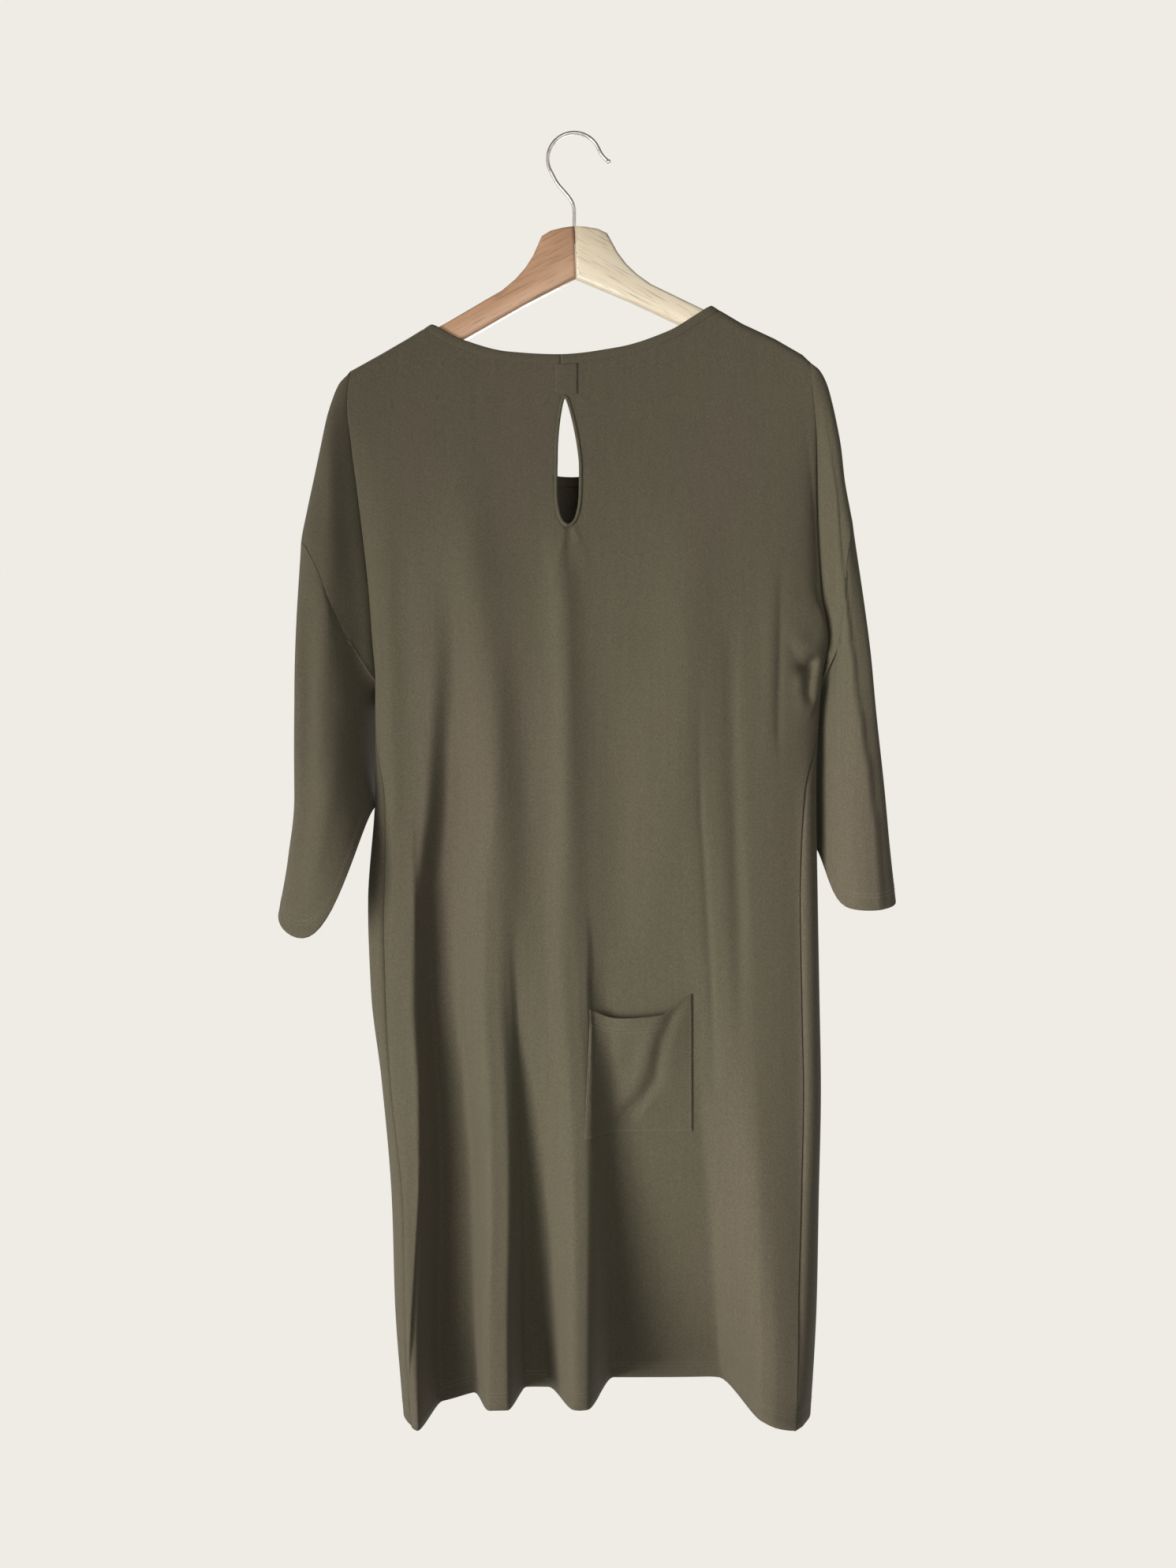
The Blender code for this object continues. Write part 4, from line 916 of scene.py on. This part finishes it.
def band_grid(front, first, last):
    """A neckband strip, padded a little, from its free edge to its seam."""
    edge, seam = NECKS[front]
    shares = SHARES[(SHARES >= first - 1e-9) & (SHARES <= last + 1e-9)]
    foot = body_grid(shares, np.array([0.0]), front)[0]
    edge_x = np.interp(foot[:, 0], seam[:, 0], edge[:, 0])
    edge_z = np.interp(foot[:, 0], seam[:, 0], edge[:, 1])
    rows = []
    for part in BAND_ROWS:
        x = edge_x + (foot[:, 0] - edge_x) * part
        z = edge_z + (foot[:, 2] - edge_z) * part
        y = surface_y(x, z, front) if part < 1 else foot[:, 1]
        puff = -BAND_TUCK
        if part <= 1:
            puff = BAND_PUFF * math.sin(math.pi * min(part, 0.999)) ** 0.5
        rows.append(np.stack([x, y + (puff if front else -puff), z], axis=1))
    return np.array(rows)


def edge_line(grid, distance, row=-1):
    """Points on a grid at a distance in from its last row, or its first where row is 0, and
    the directions along the line and out of the cloth."""
    rows = grid[::-1] if row == -1 else grid
    run = np.cumsum(np.linalg.norm(np.diff(rows, axis=0), axis=2), axis=0)
    run = np.concatenate([np.zeros((1, run.shape[1])), run])
    count = rows.shape[1]

    def at(place):
        """Points of every column at one distance."""
        return np.array(
            [[np.interp(place, run[:, j], rows[:, j, i]) for i in range(3)] for j in range(count)]
        )

    line, further = at(distance), at(distance + 1.5)
    along = np.gradient(line, axis=0)
    outward = np.cross(along, further - line)
    return line, outward / np.maximum(np.linalg.norm(outward, axis=1), 1e-9)[:, None]


def stitch_object(name, rows):
    """Short raised stitches along rows of (line, outward), as one object."""
    shape = bmesh.new()
    section = ((-1, 0), (-0.6, 0.8), (0.6, 0.8), (1, 0))
    for line, outward in rows:
        steps = np.linalg.norm(np.diff(line, axis=0), axis=1)
        run = np.concatenate([[0], np.cumsum(steps)])
        for start in np.arange(0.6, run[-1] - STITCH_LENGTH, STITCH_PITCH):
            ends = []
            for place in (start, start + STITCH_LENGTH):
                ends.append(np.array([np.interp(place, run, line[:, i]) for i in range(3)]))
            out = np.array([np.interp(start, run, outward[:, i]) for i in range(3)])
            along = ends[1] - ends[0]
            side = np.cross(along, out)
            side = side / max(np.linalg.norm(side), 1e-9) * STITCH_WIDTH / 2
            rings = []
            for end in ends:
                ring = [end + side * a + out * (b * STITCH_RISE - STITCH_SINK) for a, b in section]
                rings.append([shape.verts.new(point * MM) for point in ring])
            near, far = rings
            for i in range(4):
                shape.faces.new((near[i], near[(i + 1) % 4], far[(i + 1) % 4], far[i]))
            shape.faces.new(near[::-1])
            shape.faces.new(far)
    bmesh.ops.recalc_face_normals(shape, faces=shape.faces)
    return put_object(name, mesh_of(name, shape))


def ring_object(name, rings):
    """A closed tube from rings of points, each ring joined to the next and the last to the
    first."""
    shape = bmesh.new()
    verts = [[shape.verts.new(point) for point in ring] for ring in rings * MM]
    count, width = len(verts), len(verts[0])
    for i in range(count):
        after = verts[(i + 1) % count]
        for j in range(width):
            k = (j + 1) % width
            shape.faces.new((verts[i][j], verts[i][k], after[k], after[j])).smooth = True
    bmesh.ops.recalc_face_normals(shape, faces=shape.faces)
    return put_object(name, mesh_of(name, shape))


def new_material(name, **sockets):
    """A Principled material with plain socket values."""
    material = bpy.data.materials.new(name)
    material.use_nodes = True
    shader = material.node_tree.nodes["Principled BSDF"]
    for key, value in sockets.items():
        shader.inputs[key.replace("_", " ")].default_value = value
    return material, material.node_tree, shader


def mixed(tree, low, high, factor, blend="MIX"):
    """A colour mix whose ends are colours or sockets."""
    mix = tree.nodes.new("ShaderNodeMix")
    mix.data_type = "RGBA"
    mix.blend_type = blend
    for socket, value in ((6, low), (7, high), (0, factor)):
        if isinstance(value, bpy.types.NodeSocket):
            tree.links.new(value, mix.inputs[socket])
        elif socket:
            mix.inputs[socket].default_value = (*value, 1)
        else:
            mix.inputs[socket].default_value = value
    return mix.outputs[2]


def noise_on(tree, vector, scale, detail=2.0, rough=0.5, stretch=(1, 1, 1)):
    """Noise over a vector that is stretched first."""
    mapping = tree.nodes.new("ShaderNodeMapping")
    mapping.inputs["Scale"].default_value = stretch
    tree.links.new(vector, mapping.inputs["Vector"])
    noise = tree.nodes.new("ShaderNodeTexNoise")
    noise.inputs["Scale"].default_value = scale
    noise.inputs["Detail"].default_value = detail
    noise.inputs["Roughness"].default_value = rough
    tree.links.new(mapping.outputs[0], noise.inputs["Vector"])
    return noise.outputs["Fac"]


def sharpened(tree, value, low, high):
    """A value spread from low..high to 0..1."""
    spread = tree.nodes.new("ShaderNodeMapRange")
    spread.inputs["From Min"].default_value = low
    spread.inputs["From Max"].default_value = high
    tree.links.new(value, spread.inputs["Value"])
    return spread.outputs["Result"]


def bumped(tree, shader, *layers):
    """Bump from layers of (height, strength, distance in metres)."""
    normal = None
    for height, strength, distance in layers:
        bump = tree.nodes.new("ShaderNodeBump")
        bump.inputs["Strength"].default_value = strength
        bump.inputs["Distance"].default_value = distance
        tree.links.new(height, bump.inputs["Height"])
        if normal:
            tree.links.new(normal, bump.inputs["Normal"])
        normal = bump.outputs["Normal"]
    tree.links.new(normal, shader.inputs["Normal"])


def jersey_cloth(colour, depth):
    """Heathered jersey: flecked yarn, faint upright streaks, the grain of the knit, and slow
    drifts between a green and a brown olive."""
    material, tree, shader = new_material(
        "heathered_jersey", Roughness=0.9, Sheen_Weight=0.12, Sheen_Roughness=0.5,
        Sheen_Tint=(0.80, 0.76, 0.66, 1), Specular_IOR_Level=0.2,
    )
    place = tree.nodes.new("ShaderNodeTexCoord").outputs["Object"]
    flecks = sharpened(tree, noise_on(tree, place, 700, 3, 0.6, (1, 1, 0.8)), 0.34, 0.68)
    streaks = sharpened(tree, noise_on(tree, place, 260, 2, 0.5, (1, 1, 0.04)), 0.3, 0.7)
    drift = sharpened(tree, noise_on(tree, place, 6, 2, 0.5, (1, 1, 0.45)), 0.35, 0.65)
    green = tuple(c * d for c, d in zip(colour, GREEN_DRIFT))
    brown = tuple(c * d for c, d in zip(colour, BROWN_DRIFT))
    base = mixed(tree, green, brown, drift)
    dark, light = (1 - depth,) * 3, (1 + depth,) * 3
    tone = mixed(tree, base, mixed(tree, dark, light, flecks), 1.0, "MULTIPLY")
    tone = mixed(tree, tone, mixed(tree, dark, light, streaks), 0.22, "MULTIPLY")
    tree.links.new(tone, shader.inputs["Base Color"])
    grain = noise_on(tree, place, 950, 2, 0.6, (1, 1, 0.7))
    uv = tree.nodes.new("ShaderNodeTexCoord").outputs["UV"]
    wale = tree.nodes.new("ShaderNodeTexWave")
    wale.inputs["Scale"].default_value = WALE_SCALE
    wale.inputs["Distortion"].default_value = 1.5
    tree.links.new(uv, wale.inputs["Vector"])
    bumped(tree, shader, (grain, 0.5, 0.0005), (wale.outputs["Fac"], 0.10, 0.0003))
    return material


def thread(colour):
    """Sewing thread with a slight gloss and a twist."""
    material, tree, shader = new_material("sewing_thread", Roughness=0.6, Sheen_Weight=0.1)
    place = tree.nodes.new("ShaderNodeTexCoord").outputs["Object"]
    twist = noise_on(tree, place, 1500, 1, 0.5)
    tone = mixed(tree, tuple(c * 0.8 for c in colour), tuple(c * 1.2 for c in colour), twist)
    tree.links.new(tone, shader.inputs["Base Color"])
    bumped(tree, shader, (twist, 0.4, 0.0002))
    return material


def varnished_wood(name, colour, dark, side):
    """Varnished wood whose grain runs along its arm of the hanger."""
    material, tree, shader = new_material(
        name, Roughness=0.42, Coat_Weight=0.35, Coat_Roughness=0.25
    )
    place = tree.nodes.new("ShaderNodeTexCoord").outputs["Object"]
    turned = tree.nodes.new("ShaderNodeMapping")
    turned.inputs["Rotation"].default_value = (0, -side * 0.5, 0)
    tree.links.new(place, turned.inputs["Vector"])
    grain = noise_on(tree, turned.outputs[0], 90, 4, 0.6, (0.06, 1, 1))
    broad = noise_on(tree, turned.outputs[0], 22, 3, 0.5, (0.12, 1, 1))
    pores = sharpened(tree, noise_on(tree, turned.outputs[0], 700, 2, 0.5, (0.05, 1, 1)), 0.55, 0.75)
    tone = mixed(tree, colour, dark, sharpened(tree, grain, 0.35, 0.75))
    tone = mixed(tree, tone, mixed(tree, colour, dark, sharpened(tree, broad, 0.3, 0.7)), 0.35)
    tone = mixed(tree, tone, tuple(c * 0.6 for c in dark), pores)
    tree.links.new(tone, shader.inputs["Base Color"])
    bumped(tree, shader, (grain, 0.2, 0.0004), (pores, 0.15, 0.0002))
    return material


def drawn_wire(colour):
    """Bright steel wire with a few dull spots."""
    material, tree, shader = new_material("drawn_steel_wire", Metallic=1.0)
    place = tree.nodes.new("ShaderNodeTexCoord").outputs["Object"]
    spots = noise_on(tree, place, 260, 3, 0.6)
    tone = mixed(tree, tuple(c * 0.75 for c in colour), colour, sharpened(tree, spots, 0.35, 0.6))
    tree.links.new(tone, shader.inputs["Base Color"])
    rough = tree.nodes.new("ShaderNodeMapRange")
    rough.inputs["To Min"].default_value = 0.2
    rough.inputs["To Max"].default_value = 0.42
    tree.links.new(spots, rough.inputs["Value"])
    tree.links.new(rough.outputs["Result"], shader.inputs["Roughness"])
    bumped(tree, shader, (spots, 0.1, 0.0002))
    return material


def dress_up(obj, material):
    """Gives a piece its material and its body."""
    obj.data.materials.clear()
    obj.data.materials.append(material)
    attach(obj, "root")


MADE = {}


def jersey():
    """The cloth's material, made once."""
    if "jersey" not in MADE:
        cloth = bpy.context.scene.dress_cloth
        MADE["jersey"] = jersey_cloth(tuple(cloth.colour), cloth.fleck)
        MADE["thread"] = thread(tuple(c * 1.15 for c in cloth.colour))
    return MADE["jersey"]


def cloth_piece(obj, node):
    """Puts a cloth piece in its node's place."""
    dress_up(obj, jersey())
    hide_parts(node)
    return obj


class ClothSettings(bpy.types.PropertyGroup):
    """Sizes and colours of the cloth."""

    colour: bpy.props.FloatVectorProperty(
        name="Colour", description="Mean colour of the jersey", subtype="COLOR", size=3,
        default=(0.100, 0.086, 0.057), min=0, max=1,
    )
    fleck: bpy.props.FloatProperty(
        name="Fleck", description="How strongly the yarn is flecked", default=0.16, min=0, max=1,
    )
    wall: bpy.props.FloatProperty(
        name="Thickness", description="Thickness of one layer in millimetres", default=CLOTH,
        min=0.5, max=3,
    )


class StageSettings(bpy.types.PropertyGroup):
    """Light, backdrop and camera."""

    backdrop: bpy.props.FloatVectorProperty(
        name="Backdrop", description="Colour of the backdrop", subtype="COLOR", size=3,
        default=(0.863, 0.838, 0.784), min=0, max=1,
    )
    key: bpy.props.FloatProperty(
        name="Key light", description="Power of the light at the low left", default=11.5,
        min=0, subtype="POWER",
    )
    fill: bpy.props.FloatProperty(
        name="Fill light", description="Power of the weak light at the front", default=12.0,
        min=0, subtype="POWER",
    )
    rear: bpy.props.FloatProperty(
        name="Rear light", description="Power of the light behind, on the front of the dress",
        default=9.0, min=0, subtype="POWER",
    )
    lens: bpy.props.FloatProperty(
        name="Lens", description="Focal length of the camera", default=35.2, min=10, max=200,
        subtype="DISTANCE_CAMERA",
    )


class DRESS_OT_panels(bpy.types.Operator):
    """Back and front panels with their long folds and creases"""

    bl_idname = "dress.panels"
    bl_label = "Panels"

    def execute(self, context):
        """Builds both panels from the section tables and cuts the keyhole."""
        wall = context.scene.dress_cloth.wall
        for front in (False, True):
            name = "cloth_front" if front else "cloth_back"
            grids = dress_panel(front)
            MADE[name + "_grid"] = grids[0]
            obj = grid_object(name, grids, front, wall, None if front else open_keyhole)
            trim_top(obj, grids)
            MADE[name] = cloth_piece(obj, "front_panel" if front else "back_panel")
        return {"FINISHED"}


class DRESS_OT_sleeves(bpy.types.Operator):
    """Both sleeves, each a tube with a slanted open cuff"""

    bl_idname = "dress.sleeves"
    bl_label = "Sleeves"

    def execute(self, context):
        """Builds each sleeve from its section table."""
        for side, word in ((-1, "left"), (1, "right")):
            grid = sleeve_grid(side)
            name = "cloth_sleeve_" + word
            MADE[name + "_grid"] = grid
            obj = grid_object(name, [grid], side > 0, context.scene.dress_cloth.wall)
            MADE[name] = cloth_piece(obj, "sleeve_" + word)
        return {"FINISHED"}


class DRESS_OT_neckbands(bpy.types.Operator):
    """Neckband strips along both necklines"""

    bl_idname = "dress.neckbands"
    bl_label = "Neckbands"

    def execute(self, context):
        """Builds the three strips with rounded edges."""
        first, split, last = [nearest_share(x) for x in (NECK_LEFT_X, BAND_SPLIT_X, NECK_RIGHT_X)]
        strips = (
            ("neckband_back_left", False, first, split, (0.13, BAND_CUT)),
            ("neckband_back_right", False, split, last, (0.155, BAND_CUT)),
            ("neckband_front", True, first, last, (0.42, BAND_CUT)),
        )
        for node, front, start, end, flat in strips:
            obj = grid_object("cloth_" + node, [band_grid(front, start, end)], front, BAND_WALL)
            cloth_piece(obj, node)
        return {"FINISHED"}


class DRESS_OT_keyhole(bpy.types.Operator):
    """Rolled binding round the keyhole, and the lapped tab above it"""

    bl_idname = "dress.keyhole"
    bl_label = "Keyhole"

    def execute(self, context):
        """Sweeps the binding round the slit and lays the tab over the back."""
        tree = tree_of(MADE["cloth_back"])
        middle = keyhole_outline(BINDING_WIDTH / 2)
        outward = keyhole_outline(BINDING_WIDTH / 2 + 1) - middle
        outer = keyhole_outline(BINDING_WIDTH + 1.0)
        depths = np.array([near_y(tree, x, z) for x, z in outer])
        rings = []
        for (x, z), (out_x, out_z), y in zip(middle, outward, depths):
            ring = []
            for turn in np.linspace(0, 2 * math.pi, BINDING_SIDES, endpoint=False):
                a, b = math.cos(turn) * BINDING_WIDTH / 2, math.sin(turn) * BINDING_RISE
                ring.append((x + out_x * a, y - BINDING_LIFT - b, z + out_z * a))
            rings.append(ring)
        binding = ring_object("cloth_keyhole_binding", np.array(rings))
        cloth_piece(binding, "keyhole_binding")
        low = KEYHOLE_TIP_Z + BINDING_WIDTH + 2 * SEAM_GAP
        wide, tall = TAB_SIZE
        across, down = np.meshgrid(np.linspace(0, 1, wide + 2), np.linspace(0, 1, tall))
        x = TAB_X[0] + (TAB_X[1] - TAB_X[0]) * across
        high = top_z(x, False) - 2 * SEAM_GAP
        z = high + (low - high) * down
        edge = np.minimum(np.minimum(across, 1 - across) * wide, (1 - down) * tall)
        rolled = TAB_ROLL * (1 - smooth(edge / TAB_ROLL_WIDTH))
        y = surface_y(x, z, False) - TAB_THICK - SEAM_GAP + rolled
        grid = np.stack([x, y, z], axis=-1)
        tab = cloth_piece(grid_object("cloth_keyhole_tab", [grid], False, TAB_THICK), "keyhole_tab")
        MADE["keyhole_pieces"] = [binding, tab]
        return {"FINISHED"}


class DRESS_OT_pocket(bpy.types.Operator):
    """Patch pocket with a sagging, gaping mouth"""

    bl_idname = "dress.pocket"
    bl_label = "Pocket"

    def execute(self, context):
        """Lays the pocket over the back and adds its own creases."""
        grid = pocket_grid(tree_of(MADE["cloth_back"]))
        grid = creased(grid, np.ones(grid.shape[:2]), POCKET_CREASES)
        MADE["cloth_pocket_grid"] = grid
        obj = cloth_piece(grid_object("cloth_pocket", [grid], False, POCKET_WALL), "patch_pocket")
        MADE["cloth_pocket"] = obj
        return {"FINISHED"}


class DRESS_OT_stitching(bpy.types.Operator):
    """Twin-needle hems, cuffs, and the pocket's stitching"""

    bl_idname = "dress.stitching"
    bl_label = "Stitching"

    def execute(self, context):
        jersey()
        for name, (flat, area, rests) in SHEETS.items():
            grid = MADE[name + "_grid"]
            if name == "cloth_pocket":
                turned = grid.transpose(1, 0, 2)
                lines = [edge_line(grid, away, 0) for away in MOUTH_ROWS]
                lines.append(edge_line(grid, POCKET_EDGE))
                lines += [edge_line(turned, POCKET_EDGE, 0), edge_line(turned, POCKET_EDGE)]
            else:
                lines = [edge_line(grid, away) for away in HEM_ROWS]
            stitches = stitch_object(name.replace("cloth", "stitches"), self.faced(lines, name))
            dress_up(stitches, MADE["thread"])
        return {"FINISHED"}

    def faced(self, lines, name):
        """The rows with each direction turned out of the cloth."""
        turned = []
        for line, outward in lines:
            if name.startswith("cloth_sleeve"):
                facing = (outward * (line - line.mean(axis=0))).sum()
            elif name == "cloth_front":
                facing = outward[len(outward) // 2][1]
            else:
                facing = -outward[len(outward) // 2][1]
            turned.append((line, outward if facing > 0 else -outward))
        return turned


class DRESS_OT_hanger(bpy.types.Operator):
    """Varnished halves of the hanger, and its wire hook"""

    bl_idname = "dress.hanger"
    bl_label = "Hanger"

    def execute(self, context):
        """Copies and smooths the wooden halves and sweeps the hook's wire."""
        for node, slot, colour, dark, side in WOODS:
            piece = put_object("wood_" + node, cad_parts[node].data.copy())
            only_select(piece)
            bpy.ops.object.mode_set(mode="EDIT")
            bpy.ops.mesh.select_all(action="SELECT")
            bpy.ops.mesh.remove_doubles(threshold=1e-6)
            bpy.ops.mesh.normals_make_consistent(inside=False)
            bpy.ops.object.mode_set(mode="OBJECT")
            bpy.ops.object.shade_smooth_by_angle(angle=math.radians(50))
            dress_up(piece, varnished_wood(slot + "_varnished", colour, dark, side))
            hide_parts(node)
            piece.select_set(False)
        dress_up(self.hook(), drawn_wire(WIRE_COLOUR))
        return {"FINISHED"}

    def hook(self):
        """The wire as one smooth swept curve with a ball on its tip."""
        points = list(HOOK_FOOT)
        centre_z = WIRE / 2 - HOOK_RADIUS
        first, last = HOOK_BEND
        for i in range(HOOK_BEND_STEPS + 1):
            angle = math.radians(first - (first - last) * i / HOOK_BEND_STEPS)
            points.append((HOOK_RADIUS * math.cos(angle), centre_z + HOOK_RADIUS * math.sin(angle)))
        points += HOOK_TIP
        curve = bpy.data.curves.new("wire_hook", "CURVE")
        curve.dimensions = "3D"
        curve.bevel_depth = WIRE / 2 * MM
        curve.bevel_resolution = 5
        curve.use_fill_caps = True
        curve.resolution_u = 4
        line = curve.splines.new("BEZIER")
        line.bezier_points.add(len(points) - 1)
        for point, (x, z) in zip(line.bezier_points, points):
            point.co = (x * MM, 0, z * MM)
            point.handle_left_type = point.handle_right_type = "AUTO"
        only_select(put_object("wire_hook", curve))
        bpy.ops.object.convert(target="MESH")
        obj = bpy.context.view_layer.objects.active
        bpy.ops.object.select_all(action="DESELECT")
        bpy.ops.mesh.primitive_uv_sphere_add(
            segments=20, ring_count=12, radius=BALL_RADIUS * MM, location=Vector(BALL_PLACE) * MM
        )
        obj.select_set(True)
        bpy.context.view_layer.objects.active = obj
        bpy.ops.object.join()
        bpy.ops.object.shade_smooth()
        bpy.ops.object.select_all(action="DESELECT")
        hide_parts("hanger_hook")
        return obj


class DRESS_OT_stage(bpy.types.Operator):
    """Pale backdrop, soft light and camera"""

    bl_idname = "dress.stage"
    bl_label = "Stage"

    def execute(self, context):
        """Curves the backdrop up round the floor and sets the lights and the camera."""
        settings = context.scene.dress_stage
        self.backdrop(tuple(settings.backdrop))
        for name in LAMPS:
            self.light(name, getattr(settings, name))
        world = bpy.data.worlds.new("Pale room")
        world.use_nodes = True
        background = world.node_tree.nodes["Background"]
        background.inputs["Color"].default_value = SKY_COLOUR
        background.inputs["Strength"].default_value = SKY_STRENGTH
        context.scene.world = world
        camera = put_object("camera", bpy.data.cameras.new("camera"))
        camera.location = CAMERA_PLACE
        camera.rotation_euler = (math.pi / 2, 0, 0)
        camera.data.lens = settings.lens
        camera.data.sensor_width = 36.0
        camera.data.sensor_fit = "AUTO"
        context.scene.camera = camera
        context.scene.view_settings.view_transform = "Standard"
        return {"FINISHED"}

    def backdrop(self, colour):
        """A round floor that curves up into a wall on every side."""
        profile = []
        for i in range(ROOM_BEND_STEPS + 1):
            turn = math.pi / 2 * i / ROOM_BEND_STEPS
            out = ROOM_REACH - ROOM_BEND * (1 - math.sin(turn))
            profile.append((out, FLOOR_Z + ROOM_BEND * (1 - math.cos(turn))))
        profile.append((ROOM_REACH, FLOOR_Z + ROOM_HEIGHT))
        shape = bmesh.new()
        rings = []
        turns = [2 * math.pi * i / ROOM_SIDES for i in range(ROOM_SIDES)]
        for out, z in profile:
            rings.append([shape.verts.new((out * math.sin(t), out * math.cos(t), z)) for t in turns])
        shape.faces.new(rings[0])
        for low, high in zip(rings, rings[1:]):
            for i in range(ROOM_SIDES):
                k = (i + 1) % ROOM_SIDES
                shape.faces.new((low[i], low[k], high[k], high[i])).smooth = True
        material = new_material(
            "pale_paper", Roughness=1.0, Specular_IOR_Level=0.0, Base_Color=(0, 0, 0, 1),
            Emission_Color=(*colour, 1), Emission_Strength=1.0,
        )[0]
        obj = put_object("backdrop", mesh_of("backdrop", shape))
        obj.data.materials.append(material)
        obj.visible_diffuse = False
        obj.visible_shadow = False

    def light(self, name, power):
        """A soft lamp at its place, turned to a point of the dress."""
        place, aim, size, spread = LAMPS[name]
        lamp = bpy.data.lights.new(name + "_light", "AREA")
        lamp.shape = "SQUARE"
        lamp.size = size
        lamp.spread = math.radians(spread)
        lamp.energy = power
        lamp.color = LAMP_COLOUR
        obj = put_object(name + "_light", lamp)
        obj.location = place
        away = Vector(aim) - Vector(place)
        obj.rotation_euler = away.to_track_quat("-Z", "Y").to_euler()
        obj.visible_camera = False


class DRESS_PT_panel(bpy.types.Panel):
    """Lists the dress's operators and settings"""

    bl_idname = "DRESS_PT_panel"
    bl_label = "Jersey dress"
    bl_space_type = "VIEW_3D"
    bl_region_type = "UI"
    bl_category = "Dress"

    def draw(self, context):
        """Draws the settings and one button for each piece."""
        for group in (context.scene.dress_cloth, context.scene.dress_stage):
            for name in group.__annotations__:
                self.layout.prop(group, name)
        for operator in OPERATORS:
            self.layout.operator(operator.bl_idname)


OPERATORS = (
    DRESS_OT_panels, DRESS_OT_sleeves, DRESS_OT_neckbands, DRESS_OT_keyhole, DRESS_OT_pocket,
    DRESS_OT_stitching, DRESS_OT_hanger, DRESS_OT_stage,
)
CLASSES = (ClothSettings, StageSettings) + OPERATORS + (DRESS_PT_panel,)


def register():
    """Registers the classes and their settings."""
    for item in CLASSES:
        bpy.utils.register_class(item)
    bpy.types.Scene.dress_cloth = bpy.props.PointerProperty(type=ClothSettings)
    bpy.types.Scene.dress_stage = bpy.props.PointerProperty(type=StageSettings)


def unregister():
    """Takes the classes and their settings away."""
    del bpy.types.Scene.dress_stage
    del bpy.types.Scene.dress_cloth
    for item in reversed(CLASSES):
        bpy.utils.unregister_class(item)


def main():
    """Builds every piece."""
    register()
    for operator in OPERATORS:
        group, name = operator.bl_idname.split(".")
        getattr(getattr(bpy.ops, group), name)()
    bpy.context.view_layer.update()


if __name__ == "__main__":
    main()
